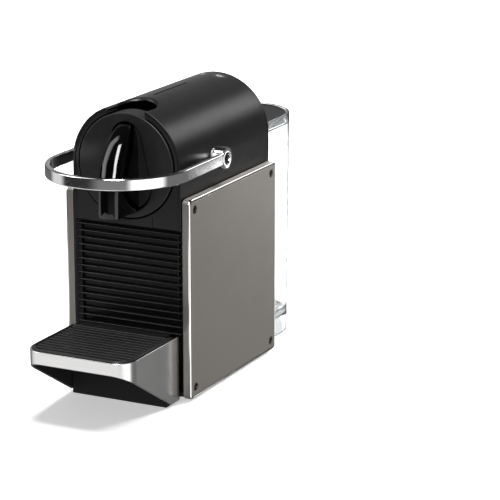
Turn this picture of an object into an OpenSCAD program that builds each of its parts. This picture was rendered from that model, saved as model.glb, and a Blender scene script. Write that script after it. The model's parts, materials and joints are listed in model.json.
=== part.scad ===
// Pod coffee machine: a slim body with a round upper casing, a front lever that slides the brew
// head, a pull-out capsule container with a folding cup support, and a lift-off water tank.
// Millimetres. The front faces -Y, +X is to the right, +Z is up. The origin is at the bottom
// centre of the whole machine, on the table.

/* [Body] */
// Overall height, from the table to the top of the casing
body_h = 235; // [225:1:260]
// Diameter of the round upper casing
casing_d = 95.5; // [88:0.5:115]
// Length of the casing
casing_l = 153.2; // [145:0.1:190]
// Wall of the casing and of the inner frames
casing_wall = 2.4; // [1.8:0.1:3]
// Height of the lower edge of the fascia
fascia_z = 140; // [132:1:146]
// Thickness of the rear cover
back_t = 2.3; // [1.8:0.1:3]
// Height of the rubber feet
foot_h = 3; // [2:0.5:5]
// Thickness of the base plate
base_t = 3; // [2:0.5:4]

/* [Side panels] */
// Thickness of a side panel
panel_t = 7; // [5:0.1:10]
// Gap between the casing and a side panel
panel_gap = 0.75; // [0.4:0.05:1.2]
// Height of the panel's top edge
panel_top = 165; // [150:1:180]
// Distance of a panel screw from the panel's edges
screw_inset = 8.9; // [7:0.1:14]

/* [Capsule slot and controls] */
// Width of the capsule slot
slot_w = 34; // [30:0.5:38]
// Length of the capsule slot from the casing's front rim
slot_l = 32.6; // [30:0.1:38]
// Width of the control panel
control_w = 39; // [34:0.5:44]
// Length of the control panel
control_l = 36.9; // [30:0.1:45]
// Diameter of a cup button
button_d = 12.4; // [9:0.1:14]
// Travel of a cup button
button_travel = 1.2; // [0.6:0.1:2]

/* [Lever and brew head] */
// Length of the lever from its pivot to its front
lever_l = 124.3; // [110:0.1:140]
// How far the lever's arms stand out past the side panels
lever_out = 3.5; // [0:0.1:6]
// Height of the lever band
lever_h = 9.6; // [8:0.1:14]
// Thickness of the lever band
lever_t = 4; // [3:0.1:6]
// Diameter of the lever's end rings
lever_ring_d = 18; // [15:0.5:22]
// Distance of the pivot behind the casing's front rim
pivot_back = 57.6; // [55:0.1:75]
// Height of the pivot below the casing's axis
pivot_drop = 0; // [0:0.05:3]
// Swing of the lever, in degrees
lever_swing = 95; // [80:1:100]
// Travel of the brew head
head_travel = 28; // [20:1:30]
// Diameter of the brew head's face
head_d = 83.3; // [78:0.1:86]
// Width of the spout
spout_w = 18; // [14:0.2:24]
// Depth of the spout's round nose
spout_nose = 5.2; // [4:0.1:9]
// Reach of the spout's centre in front of the casing
spout_reach = 27.4; // [24:0.2:34]
// Height of the spout's mouth
spout_z = 151.2; // [148:0.2:160]

/* [Capsule container] */
// Number of louvre blades on the front
blade_count = 15; // [10:1:15]
// Pitch of the louvre blades
blade_pitch = 5.76; // [5:0.01:5.76]
// Half width of the container
container_hw = 40; // [34:0.5:42]
// Depth of the container
container_l = 82; // [60:1:86]
// Wall of the container
container_wall = 1.6; // [1.2:0.1:2.4]

/* [Cup support] */
// Height of the drip base's foot, in front under the cup support
foot_top = 21; // [9:1:24]
// Reach of the cup support in front of the casing
support_reach = 84.4; // [75:0.1:95]
// Width of the cup support
support_w = 92; // [86:0.5:95]
// Height of the steel band's top edge
support_z = 55.2; // [50:0.2:60]
// Height of the steel band at the front
support_lip = 10.2; // [8:0.1:16]
// Radius of the cup support's front corners
support_r = 16; // [8:0.5:24]
// Thickness of the steel band
band_t = 1.6; // [1:0.1:2.4]
// Pitch of the ribs of the grid
rib_pitch = 5.75; // [4.5:0.05:7]

/* [Water tank] */
// Width of the water tank at its rim
tank_w = 82; // [76:0.5:90]
// Length of the water tank
tank_l = 83.5; // [76:0.5:100]
// Height of the tank's rim
tank_z = 193.2; // [170:0.2:205]
// Wall of the water tank
tank_wall = 2.2; // [1.6:0.1:3]
// Height of the tank's floor, under the water
tank_floor_z = 18; // [17:0.5:24]

/* [Hidden] */
$fn = 64;
eps = 1;                 // overshoot of a cut past a face
slack = 0.3;             // clearance between pieces that move past each other
fit = 0.05;              // radial clearance of a running fit or a screw in its thread

// Main planes
casing_r = casing_d / 2;
inner_r = casing_r - casing_wall;
axis_z = body_h - casing_r;
tank_gap = 2.6;          // from the rear cover to the tank
total_l = support_reach + casing_l + back_t + tank_gap + tank_l;
support_y = -total_l / 2;                  // front of the cup support
front_y = support_y + support_reach;       // front rim of the casing
rear_y = front_y + casing_l;               // rear rim of the casing
cover_y = rear_y + back_t;                 // outside of the rear cover
tank_y = cover_y + tank_gap;               // front of the tank
floor_z = foot_h + base_t;                 // top of the base plate

// Side panels and their screws
panel_x = casing_r + panel_gap;
outer_x = panel_x + panel_t;
panel_z = foot_h;
panel_y0 = front_y + 0.3;
panel_y1 = rear_y + 0.3;
panel_r = 4;             // corner radius of a panel
bead_w = 1.6;            // polished bead round a panel's face
groove_w = 0.5;          // groove inside the bead
groove_d = 0.6;
screw_r = 1.5;           // M3 panel screw
screw_head_r = 3.2;
screw_head_h = 3;
counterbore = 3.4;
screw_ys = [panel_y0 + screw_inset, panel_y1 - screw_inset];
screw_zs = [panel_z + screw_inset, panel_top - screw_inset];

// Fascia and brew head
head_r = head_d / 2;
ring_r = head_r + 1.1;   // hole in the fascia
fascia_in = 0.4;         // the fascia sits this far behind the casing's rim
fascia_t = 2.4;
sleeve_l = 16;
head_y = front_y - fascia_in;              // front of the brew head's face
head_t = 4;
shroud_t = 1.6;
shroud_l = 30;
shroud_solid = 14;       // behind this the shroud is open above and below, for the capsule
pocket_d = 6;            // depth of the recess behind the spout
pocket_t = 2;
pocket_y = head_y + pocket_d;              // floor of the recess
hub_y = pocket_y + pocket_t;

// Lever and its crank
lever_x = outer_x + lever_out;             // outside of the lever's arms
pivot_y = front_y + pivot_back;
pivot_z = axis_z - pivot_drop;
lever_front_y = pivot_y - lever_l;
bow_y = lever_front_y + lever_x;           // centre of the lever's round front
ring_hole_r = 4.35;
boss_x = casing_r + 1.45;
shaft_r = 5;
crank_a = lever_swing / 2;
crank_r = head_travel / (2 * sin(crank_a));
crank_pin_r = 3;
crank_play = 0.82;       // room that the constant ratio of lever to slide needs
crank_x = [casing_r - 10.35, casing_r - 6.95];
pin_y = pivot_y + crank_r * sin(crank_a);
pin_z = pivot_z - crank_r * cos(crank_a);
plate_x = [crank_x[0] - 4.4, crank_x[0] - 1.4];
pin_x0 = plate_x[0] - 0.6;

// Brew chamber
slot_r = slot_w / 2;
slot_y = front_y + slot_l;                 // rear end of the capsule slot
cage_y = slot_y + 0.4;                     // mouth of the capsule cage
cage_l = 30;
cage_r = 23;
cage_bore = 19;
seal_t = 1.4;
feed_y = cage_y + cage_l + 21.6;           // front of the thermoblock
block_l = 48;
block_r = 27;

// Capsule container
blade_top = fascia_z - 3.5;
blade_h = 1.3;
blade_hw = casing_r - 1.35;
blade_y = front_y + 2.2;                   // front edges of the blades
blade_l = 3.6;
frame_y = front_y + 6.2;                   // front of the frames and the base plate
backing_y = blade_y + blade_l;
backing_t = 1.6;
container_y = backing_y + backing_t;
container_z = floor_z + 0.4;               // underside of what runs over the base plate
tray_t = 2.2;
bin_z = container_z + tray_t;
bin_top = fascia_z - 8;
bulkhead_y = container_y + container_l + 2.4;
bulkhead_t = 2.4;
deck_t = 2;
chute_x = slot_w / 2 + 3.4;                // half width of the chute
chute_y = [front_y + 8.4, slot_y + 1];

// Cup support
support_hw = support_w / 2;
slope = 0.604;           // rise of the band's lower edge towards the front
foot_y = front_y - 16.4; // front of the drip base
foot_hw = support_hw - 3.6;
hinge_y = front_y - 5.4;
hinge_z = support_z - 4.7;
hinge_r = 2;
support_rear = front_y - 1.6;
ear_x = [foot_hw - 3, foot_hw];
liner_x = [support_hw - band_t - 1.6, support_hw - band_t];
grid_z = support_z - 3.8;
grid_top = support_z + 1.3;
pan_z = support_z - 11.2;
notch_y = hinge_y - 6.2; // the support is narrower behind this line, between the hinge ears

// Water tank
tank_r = tank_w / 2;
tank_cy = tank_y + tank_l - tank_r;
tank_taper = 1.6;        // each side is this much narrower at the bottom
tank_bottom = 0.9;
tank_floor_t = 2.2;
water_z = tank_floor_z + tank_floor_t;
tank_corner = 6;
lid_skirt = 6.7;
lid_t = 1.8;
dock_hw = 22;
dock_z = foot_h + 10;
dock_l = tank_cy + 12 - rear_y;
valve_r = 8;
pin_top = tank_floor_z - 1;
poppet_t = 1.6;
spring_z = [water_z + poppet_t, water_z + 8.4];
seat_z = dock_z - 3;
seal_r = 0.9;

// Places of the inner parts behind the bulkhead
inner_y = bulkhead_y + bulkhead_t;
pump_at = [-20, inner_y + 29];
pump_top = floor_z + 112;
hose_r = 3;
meter_at = [22, inner_y + 14.5];
meter_z = floor_z + 14;

plastic = [0.13, 0.13, 0.135];
dark = [0.05, 0.05, 0.055];
bronze = [0.50, 0.47, 0.44];
steel = [0.80, 0.80, 0.82];
rubber = [0.08, 0.08, 0.08];
clear = [0.85, 0.92, 0.95, 0.35];
copper = [0.72, 0.45, 0.25];
green = [0.10, 0.35, 0.18];
white = [0.90, 0.90, 0.88];

// ---- helpers -------------------------------------------------------------------------------

// A 2D shape drawn in X and Z, from y0 to y1
module along_y(y0, y1) { translate([0, y1, 0]) rotate([90, 0, 0]) linear_extrude(y1 - y0) children(); }

// A 2D shape drawn in Y and Z, from x0 to x1
module along_x(x0, x1) { translate([x0, 0, 0]) rotate([90, 0, 90]) linear_extrude(x1 - x0) children(); }

// A 2D shape drawn in X and Y, from z0 to z1
module along_z(z0, z1) { translate([0, 0, z0]) linear_extrude(z1 - z0) children(); }

// A box between two corners
module block(a, b) { translate(a) cube(b - a); }

// A round bar along X, Y or Z
module bar_x(x0, x1, y, z, r) { translate([x0, y, z]) rotate([0, 90, 0]) cylinder(h = x1 - x0, r = r); }
module bar_y(y0, y1, x, z, r) { translate([x, y1, z]) rotate([90, 0, 0]) cylinder(h = y1 - y0, r = r); }
module bar_z(z0, z1, x, y, r) { translate([x, y, z0]) cylinder(h = z1 - z0, r = r); }

// A rectangle with round corners
module rounded(a, b, r) {
  translate([a[0] + r, a[1]]) square([b[0] - a[0] - 2 * r, b[1] - a[1]]);
  translate([a[0], a[1] + r]) square([b[0] - a[0], b[1] - a[1] - 2 * r]);
  for (x = [a[0] + r, b[0] - r], y = [a[1] + r, b[1] - r]) translate([x, y]) circle(r);
}

// The body's section: a half round top over straight sides
module arch(r, low) {
  translate([0, axis_z]) circle(r);
  translate([-r, low]) square([2 * r, axis_z - low]);
}

// Both sides of the machine
module both_sides() { children(); mirror([1, 0, 0]) children(); }

// Points of a cubic curve from p to s, with q and r as its handles
function bend(p, q, r, s, t) =
  pow(1 - t, 3) * p + 3 * t * pow(1 - t, 2) * q + 3 * t * t * (1 - t) * r + pow(t, 3) * s;

// A hose of radius r along a list of points; first and last are its headings at the ends
function unit(v) = v / norm(v);
module hose(path, r, sides, first, last) {
  n = len(path);
  heading = [for (i = [0:n - 1]) i == 0 ? unit(first) : i == n - 1 ? unit(last)
    : unit(path[i + 1] - path[i - 1])];
  side = [for (h = heading) unit(cross(h, abs(h[0]) < 0.8 ? [1, 0, 0] : [0, 1, 0]))];
  points = [for (i = [0:n - 1], k = [0:sides - 1])
    path[i] + r * (cos(360 * k / sides) * side[i] + sin(360 * k / sides) * cross(heading[i], side[i]))];
  walls = [for (i = [0:n - 2], k = [0:sides - 1]) let (m = (k + 1) % sides)
    [i * sides + k, i * sides + m, (i + 1) * sides + m, (i + 1) * sides + k]];
  start = [[for (k = [sides - 1:-1:0]) k]];
  end = [[for (k = [0:sides - 1]) (n - 1) * sides + k]];
  polyhedron(points, concat(walls, start, end), convexity = 6);
}

// ---- body ----------------------------------------------------------------------------------

module base_plate() {
  color(plastic) difference() {
    block([-casing_r, frame_y, foot_h], [casing_r, rear_y, floor_z]);
    for (i = [-2:2])
      block([14 * i - 3, inner_y + 6, foot_h - eps], [14 * i + 3, rear_y - 22, floor_z + eps]);
  }
}

module rubber_feet() {
  foot_r = 7;
  places = [for (x = [-1, 1], y = [frame_y + 12, rear_y - 12]) [x * (casing_r - 12), y],
            [0, tank_cy + 4]];
  color(rubber) for (p = places) translate(p) cylinder(h = foot_h, r1 = foot_r - 0.8, r2 = foot_r);
}

// A side frame with the rail that guides the capsule container
module frame() {
  difference() {
    block([inner_r, frame_y, floor_z], [casing_r, rear_y, fascia_z]);
    for (y = screw_ys) bar_x(inner_r - eps, casing_r + eps, y, screw_zs[0], screw_r + fit);
  }
  block([container_hw + 1.4, frame_y + 3, floor_z], [inner_r, bulkhead_y, floor_z + 4]);
}
module right_frame() { color(plastic) frame(); }
// The left frame is hollowed where the cord comes in
module left_frame() {
  gland = gland_at();
  color(plastic) difference() {
    mirror([1, 0, 0]) frame();
    bar_y(rear_y - 14, rear_y + eps, gland[0], gland[1], gland_r + slack);
  }
}

module bulkhead() {
  color(plastic) difference() {
    block([-inner_r, bulkhead_y, floor_z], [inner_r, inner_y, fascia_z]);
    bar_y(bulkhead_y - eps, inner_y + eps, 30, fascia_z - 18, 6);
  }
}

// The deck over the container, with the chute that used capsules fall through
module mid_deck() {
  color(plastic) difference() {
    union() {
      block([-inner_r, front_y + fascia_in + fascia_t, fascia_z], [inner_r, inner_y, fascia_z + deck_t]);
      block([-chute_x - 1.6, chute_y[0], bin_top + 2], [chute_x + 1.6, chute_y[1], fascia_z]);
    }
    block([-chute_x, chute_y[0] + 1.6, bin_top + 2 - eps],
          [chute_x, chute_y[1] - 1.6, fascia_z + deck_t + eps]);
  }
}

// The slot that a capsule drops through, in plan
module slot_plan() {
  translate([0, slot_y - slot_r]) circle(slot_r);
  translate([-slot_r, front_y - eps]) square([slot_w, slot_l - slot_r + eps]);
}

// The opening for the control panel, in plan
module control_plan(gap) {
  translate([-control_w / 2 - gap, rear_y - control_l - gap])
    square([control_w + 2 * gap, control_l + gap + (gap > 0 ? eps : 0)]);
}

module barrel_casing() {
  slit_w = 1.6;
  color(plastic) difference() {
    along_y(front_y, rear_y) arch(casing_r, fascia_z);
    along_y(front_y - eps, rear_y + eps) arch(inner_r, fascia_z - eps);
    along_z(axis_z, body_h + eps) slot_plan();
    along_z(axis_z, body_h + eps) control_plan(0.15);
    block([-slit_w / 2, slot_y + 13, body_h - 1], [slit_w / 2, rear_y - control_l - 15, body_h + eps]);
    both_sides() {
      bar_x(inner_r - eps, casing_r + eps, pivot_y, pivot_z, shaft_r + 2 + fit);
      for (y = screw_ys) bar_x(inner_r - eps, casing_r + eps, y, screw_zs[1], screw_r + fit);
    }
  }
}

module front_fascia() {
  plate_y = front_y + fascia_in;
  seam_x = 22.9;
  color(plastic) difference() {
    union() {
      along_y(plate_y, plate_y + fascia_t) arch(inner_r - 0.15, fascia_z);
      bar_y(plate_y, plate_y + fascia_t + sleeve_l, 0, axis_z, ring_r + 1.6);
    }
    bar_y(plate_y - eps, plate_y + fascia_t + sleeve_l + eps, 0, axis_z, ring_r);
    along_z(axis_z, body_h) slot_plan();
    block([-chute_x, chute_y[0], fascia_z - eps], [chute_x, slot_y, axis_z - 20]);
    block([seam_x - 0.3, plate_y - eps, fascia_z - eps], [seam_x + 0.3, plate_y + 0.6, fascia_z + 9]);
  }
}

// A metal side panel: a slab with a grooved bead round its face, on bosses
module side_panel() {
  low = [panel_y0, panel_z];
  high = [panel_y1, panel_top];
  in = [bead_w, bead_w];
  in2 = in + [groove_w, groove_w];
  difference() {
    union() {
      along_x(panel_x, outer_x) rounded(low, high, panel_r);
      for (y = screw_ys, z = screw_zs) bar_x(casing_r, panel_x, y, z, 5);
    }
    along_x(outer_x - groove_d, outer_x + eps) difference() {
      rounded(low + in, high - in, panel_r - bead_w);
      rounded(low + in2, high - in2, panel_r - bead_w - groove_w);
    }
    for (y = screw_ys, z = screw_zs) {
      bar_x(casing_r - eps, outer_x, y, z, screw_r + 3 * fit);
      bar_x(outer_x - counterbore, outer_x + eps, y, z, screw_head_r + slack);
    }
  }
}
module right_side_panel() { color(bronze) side_panel(); }
module left_side_panel() { color(bronze) mirror([1, 0, 0]) side_panel(); }

module panel_screws() {
  seat_x = outer_x - counterbore;
  color(dark) both_sides() for (y = screw_ys, z = screw_zs) difference() {
    union() {
      bar_x(seat_x, seat_x + screw_head_h, y, z, screw_head_r);
      bar_x(inner_r + 0.2, seat_x, y, z, screw_r);
    }
    translate([seat_x + screw_head_h - 1.6, y, z]) rotate([0, 90, 0]) cylinder(h = 2, r = 1.45, $fn = 6);
  }
}

module back_cover() {
  gland = gland_at();
  color(plastic) difference() {
    along_y(rear_y, cover_y) arch(casing_r, foot_h);
    block([-dock_hw - 0.4, rear_y - eps, foot_h - eps], [dock_hw + 0.4, cover_y + eps, dock_z + 0.4]);
    bar_y(rear_y - eps, cover_y + eps, gland[0], gland[1], gland_r + fit);
    for (i = [0:7]) block([-20, rear_y - eps, 60 + 7 * i], [20, cover_y + eps, 63 + 7 * i]);
  }
}

// The gland for a mains cord, beside the tank
gland_r = 3.4;
function gland_at() = [-(casing_r - 4.3), screw_zs[0] + 8.1];
module cord_gland() {
  g = gland_at();
  color(rubber) difference() {
    union() {
      bar_y(rear_y - 2, cover_y, g[0], g[1], gland_r);
      bar_y(cover_y, cover_y + 3.4, g[0], g[1], gland_r + 0.5);
    }
    bar_y(rear_y - 2 - eps, cover_y + 3.4 + eps, g[0], g[1], 2.6);
  }
}

// ---- controls ------------------------------------------------------------------------------

button_at = [8, rear_y - 9.6];             // centre of a button, in plan
button_tilt = asin(button_at[0] / casing_r);
// A round bar square to the casing's surface, at the right-hand button
module button_bar(r0, r1, r) {
  translate([0, button_at[1], axis_z]) rotate([0, button_tilt, 0])
    translate([0, 0, r0]) cylinder(h = r1 - r0, r = r);
}

module control_panel() {
  color(dark) difference() {
    intersection() {
      along_z(axis_z, body_h + eps) control_plan(0);
      along_y(front_y, rear_y) arch(casing_r, fascia_z);
    }
    along_y(front_y, rear_y + eps) arch(inner_r, fascia_z - eps);
    both_sides() button_bar(inner_r - 4, casing_r + eps, button_d / 2 + 0.15);
  }
}

module cup_button() {
  intersection() {
    button_bar(inner_r - 2.6, casing_r + eps, button_d / 2);
    along_y(front_y, rear_y) arch(casing_r, fascia_z);
  }
}
module large_cup_button() { color(dark) cup_button(); }
module small_cup_button() { color(dark) mirror([1, 0, 0]) cup_button(); }

// The switch board under the buttons, with its two switches and four posts
module switch_board() {
  z = axis_z + inner_r - 11;
  y = button_at[1];
  switch_x = (inner_r - 2.6) * sin(button_tilt);
  switch_z = axis_z + (inner_r - 2.6) * cos(button_tilt) - button_travel - 1;
  post_x = 14;
  post_z = axis_z + sqrt(pow(inner_r, 2) - pow(post_x + 1.5, 2));
  color(green) {
    block([-17, y - 12, z], [17, y + 8, z + 1.6]);
    both_sides() {
      bar_z(z + 1.6, switch_z, switch_x, y, 2);
      for (dy = [-9, 5]) bar_z(z + 1.6, post_z, post_x, y + dy, 1.5);
    }
  }
}

// ---- water path ----------------------------------------------------------------------------

// A body of revolution about the casing's axis; r and y pairs
module turned(points) {
  translate([0, 0, axis_z]) rotate([-90, 0, 0]) rotate_extrude() polygon(points);
}

module brew_cage() {
  y0 = cage_y + seal_t;
  y1 = cage_y + cage_l;
  color(dark) difference() {
    turned([[0, y0], [cage_r, y0], [cage_r, y1], [6, y1], [6, feed_y], [0, feed_y]]);
    bar_y(y0 - eps, y1 - 2, 0, axis_z, cage_bore);
    bar_y(y1 - 3, feed_y + eps, 0, axis_z, 2);
  }
}

module cage_seal() {
  color([0.55, 0.12, 0.10]) turned([[cage_bore + 0.2, cage_y], [cage_r - 0.2, cage_y],
    [cage_r - 0.2, cage_y + seal_t], [cage_bore + 0.2, cage_y + seal_t]]);
}

module needle_plate() {
  y = cage_y + cage_l - 2;
  color(steel) difference() {
    union() {
      bar_y(y - 1.2, y, 0, axis_z, cage_bore - 0.5);
      for (a = [90, 210, 330]) translate([8 * cos(a), y - 1.2, axis_z + 8 * sin(a)])
        rotate([90, 0, 0]) cylinder(h = 6, r1 = 1.6, r2 = 0.3);
    }
    bar_y(y - 1.2 - eps, y + eps, 0, axis_z, 2);
  }
}

// A cast block with four ribs round it
module thermoblock() {
  core_r = block_r - 3;
  y1 = feed_y + block_l;
  color([0.62, 0.62, 0.64]) {
    bar_y(feed_y, y1, 0, axis_z, core_r);
    for (i = [0:3]) bar_y(feed_y + 12 * i + 4, feed_y + 12 * i + 8, 0, axis_z, block_r);
    bar_y(y1, y1 + 6, 0, axis_z, 4);
  }
}

module pump() {
  x = pump_at[0];
  y = pump_at[1];
  color([0.75, 0.72, 0.66]) {
    bar_z(floor_z + 4, floor_z + 24, x, y, 6);
    bar_x(x, x + 9, y, floor_z + 12, hose_r);
    bar_z(floor_z + 24, floor_z + 94, x, y, 14);
    block([x - 20, y - 18, floor_z + 36], [x + 20, y + 18, floor_z + 78]);
    bar_z(floor_z + 94, pump_top, x, y, 5);
  }
}

module pump_mounts() {
  neck_z = floor_z + 98;
  color(rubber) {
    difference() {
      bar_z(floor_z, floor_z + 8, pump_at[0], pump_at[1], 12);
      bar_z(floor_z - eps, floor_z + 8 + eps, pump_at[0], pump_at[1], 6 + fit);
    }
    difference() {
      union() {
        bar_z(neck_z, neck_z + 6, pump_at[0], pump_at[1], 9);
        block([pump_at[0] - 6, inner_y, neck_z], [pump_at[0] + 6, pump_at[1], neck_z + 6]);
      }
      bar_z(neck_z - eps, neck_z + 6 + eps, pump_at[0], pump_at[1], 5 + fit);
    }
  }
}

module flow_meter() {
  color(white) {
    bar_z(meter_z, meter_z + 18, meter_at[0], meter_at[1], 13);
    bar_y(meter_at[1], meter_at[1] + 20, meter_at[0], meter_z + 5, 3);
    bar_x(meter_at[0] - 20, meter_at[0], meter_at[1], meter_z + 13, 3);
    block([meter_at[0] - 5, meter_at[1] - 5, floor_z], [meter_at[0] + 5, meter_at[1] + 5, meter_z]);
  }
}

hose_steps = 14;
module run(p, q, r, s) {
  hose([for (i = [0:hose_steps]) bend(p, q, r, s, i / hose_steps)], hose_r, 10, q - p, s - r);
}

// From the tank's dock to the flow meter
module inlet_hose() {
  p = [0, rear_y - 4, dock_z - 3.6];
  s = [meter_at[0], meter_at[1] + 20, meter_z + 5];
  color(white) run(p, p - [0, 12, 0], s + [0, 10, 0], s);
}

// From the flow meter to the pump's lower end
module suction_hose() {
  p = [meter_at[0] - 20, meter_at[1], meter_z + 13];
  s = [pump_at[0] + 9, pump_at[1], floor_z + 12];
  color(white) run(p, p - [10, 0, 0], s + [10, 0, 0], s);
}

// From the pump's upper end to the thermoblock
module pressure_hose() {
  p = [pump_at[0], pump_at[1], pump_top];
  s = [0, feed_y + block_l + 6, axis_z];
  color(copper) run(p, p + [0, 0, 30], s + [0, 12, 0], s);
}

module control_board() {
  x = inner_r - 1.4;
  z = floor_z + 54;
  y = inner_y + 6;
  color(green) {
    block([x - 1.6, y, z], [x, y + 44, z + 66]);
    for (i = [0:1]) block([x - 8, y + 5 + 20 * i, z + 8], [x - 1.6, y + 19 + 20 * i, z + 24]);
    block([x - 6, y + 6, z + 34], [x - 1.6, y + 26, z + 48]);
    for (i = [0:2]) bar_x(x - 9, x - 1.6, y + 34, z + 32 + 11 * i, 4);
    for (dy = [4, 40], dz = [4, 62]) bar_x(x, inner_r, y + dy, z + dz, 2);
  }
}

// The arm under the tank, with the seat for its valve
module tank_dock() {
  seat_r = valve_r + slack;
  color(plastic) {
    difference() {
      union() {
        block([-dock_hw, rear_y, foot_h], [dock_hw, tank_cy + 4, dock_z]);
        along_z(foot_h, dock_z) translate([0, tank_cy + 4]) intersection() {
          circle(dock_hw);
          translate([-dock_hw, 0]) square(2 * dock_hw);
        }
        bar_z(dock_z, dock_z + 3.4, 0, tank_cy, seat_r + 1.8);
        bar_y(rear_y - 4, rear_y, 0, dock_z - 3.6, hose_r);
      }
      bar_z(seat_z, dock_z + 3.4 + eps, 0, tank_cy, seat_r);
    }
    bar_z(seat_z, pin_top, 0, tank_cy, 1.5);
  }
}

module dock_seal() {
  color(rubber) translate([0, tank_cy, seat_z + seal_r]) rotate_extrude() translate([6.6, 0]) circle(seal_r);
}

// ---- lever ---------------------------------------------------------------------------------

module pivot_bushes() {
  color(white) both_sides() difference() {
    bar_x(inner_r - 0.8, casing_r + 0.8, pivot_y, pivot_z, shaft_r + 2);
    bar_x(inner_r - 0.8 - eps, casing_r + 0.8 + eps, pivot_y, pivot_z, shaft_r + fit);
  }
}

// The lever's outline in plan, taken in by t
module lever_plan(t) {
  translate([0, bow_y]) circle(lever_x - t);
  translate([t - lever_x, bow_y]) square([2 * (lever_x - t), pivot_y - bow_y]);
}

module lever_band() {
  z0 = pivot_z - lever_h / 2;
  color(steel) difference() {
    union() {
      along_z(z0, z0 + lever_h) difference() {
        lever_plan(0);
        lever_plan(lever_t);
        translate([-lever_x, pivot_y]) square([2 * lever_x, lever_x]);
      }
      both_sides() bar_x(boss_x, lever_x, pivot_y, pivot_z, lever_ring_d / 2);
    }
    both_sides() {
      bar_x(lever_x - 3, lever_x + eps, pivot_y, pivot_z, ring_hole_r);
      bar_x(boss_x - eps, lever_x, pivot_y, pivot_z, 2 + 2 * fit);
    }
  }
}

module pivot_shafts() {
  color(steel) both_sides() difference() {
    bar_x(crank_x[1], boss_x, pivot_y, pivot_z, shaft_r);
    bar_x(crank_x[1] + 1.4, boss_x + eps, pivot_y, pivot_z, 2 + fit);
  }
}

module lever_screws() {
  head_x = lever_x - 3;
  color(dark) both_sides() difference() {
    union() {
      bar_x(head_x, head_x + 2.1, pivot_y, pivot_z, ring_hole_r - 0.15);
      bar_x(crank_x[1] + 1.6, head_x, pivot_y, pivot_z, 2);
    }
    translate([head_x + 0.8, pivot_y, pivot_z]) rotate([0, 90, 0]) cylinder(h = 2, r = 2.4, $fn = 6);
  }
}

// The cranks inside the casing; their pins push the brew head's side plates
module crank_arms() {
  color(steel) both_sides() {
    along_x(crank_x[0], crank_x[1]) {
      translate([pivot_y, pivot_z]) circle(7.5);
      translate([pin_y, pin_z]) circle(5);
      translate([pivot_y, pivot_z]) rotate(crank_a - 90) translate([0, -5]) square([crank_r, 10]);
    }
    bar_x(pin_x0, crank_x[0], pin_y, pin_z, crank_pin_r);
  }
}

// ---- brew head -----------------------------------------------------------------------------

// The egg-shaped recess in the head's face, taken in by t
module recess(t) {
  hull() {
    translate([0, axis_z - 15.2]) circle(22.5 - t);
    translate([0, axis_z + 22.4]) circle(13 - t);
  }
}

module head_face() {
  color(plastic) difference() {
    union() {
      bar_y(head_y, head_y + head_t, 0, axis_z, head_r);
      along_y(head_y + head_t - 1, hub_y) recess(-pocket_t);
    }
    along_y(head_y - eps, pocket_y) recess(0);
  }
}

module head_shroud() {
  y0 = head_y + head_t;
  y1 = y0 + shroud_l;
  color(plastic) difference() {
    bar_y(y0, y1, 0, axis_z, head_r);
    bar_y(y0 - eps, y1 + eps, 0, axis_z, head_r - shroud_t);
    block([-slot_r - 1, y0 + shroud_solid, axis_z], [slot_r + 1, y1 + eps, body_h]);
    block([-chute_x, y0 + shroud_solid, fascia_z], [chute_x, y1 + eps, axis_z]);
  }
}

// A slice of the spout: a bar with a round nose, from the recess to its nose's centre at y
module spout_slice(y, hw, z, h) {
  sides = 24;
  depth = spout_nose * hw / (spout_w / 2);
  nose = [for (i = [0:sides]) let (a = 180 + 180 * i / sides) [hw * cos(a), y + depth * sin(a)]];
  translate([0, 0, z]) linear_extrude(h) polygon(concat(nose, [[hw, pocket_y], [-hw, pocket_y]]));
}

outlet_y = front_y - spout_reach + 3.4;    // centre of the spout's mouth
module spout_hood() {
  hw = spout_w / 2;
  nose_y = front_y - spout_reach;
  shoulder = axis_z - 9;
  // nose centre behind the spout's own, and half width, at heights over the shoulder
  steps = [[0, hw, 0], [4.4, hw, 9.6], [6.8, hw, 17.8], [13.4, hw - 0.8, 29.6],
           [19.6, hw - 1.8, 36.2], [24.8, hw - 3, 40], [29.6, hw - 4.6, 43]];
  color(dark) difference() {
    union() {
      spout_slice(nose_y, hw, spout_z, shoulder - spout_z);
      for (i = [0:len(steps) - 2]) hull() for (s = [steps[i], steps[i + 1]])
        spout_slice(nose_y + s[0], s[1], shoulder + s[2], 0.2);
    }
    bar_z(spout_z - eps, shoulder - 6, 0, outlet_y, hw - 2.6);
    along_y(head_y - slack, pocket_y + eps) difference() {
      translate([0, axis_z]) circle(head_r);
      recess(slack);
    }
  }
}

module outlet_nozzle() {
  top = axis_z - 15;
  color(dark) difference() {
    bar_z(spout_z + 3, top, 0, outlet_y, 4.5);
    bar_z(spout_z + 3 - eps, top + eps, 0, outlet_y, 2.4);
  }
}

module extraction_plate() {
  y1 = cage_y - slack;
  color(dark) {
    bar_y(y1 - 4, y1, 0, axis_z, 20);
    bar_y(hub_y, y1 - 4, 0, axis_z, 10);
  }
}

module head_side_plates() {
  slot_hw = crank_pin_r + crank_play;
  slot_z = [pivot_z - crank_r - crank_pin_r - slack, pin_z + crank_pin_r + slack];
  plate_z = [axis_z - 17.25, axis_z + 16.75];
  color(dark) both_sides() difference() {
    union() {
      block([plate_x[0], head_y + head_t, plate_z[0]], [plate_x[1], pin_y + 9, plate_z[1]]);
      block([plate_x[0], pin_y - 24, slot_z[0] - 4.6], [plate_x[1], pin_y + 9, plate_z[0] + 1]);
    }
    block([plate_x[0] - eps, pin_y - slot_hw, slot_z[0]], [plate_x[1] + eps, pin_y + slot_hw, slot_z[1]]);
  }
}

// ---- capsule container ---------------------------------------------------------------------

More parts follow.
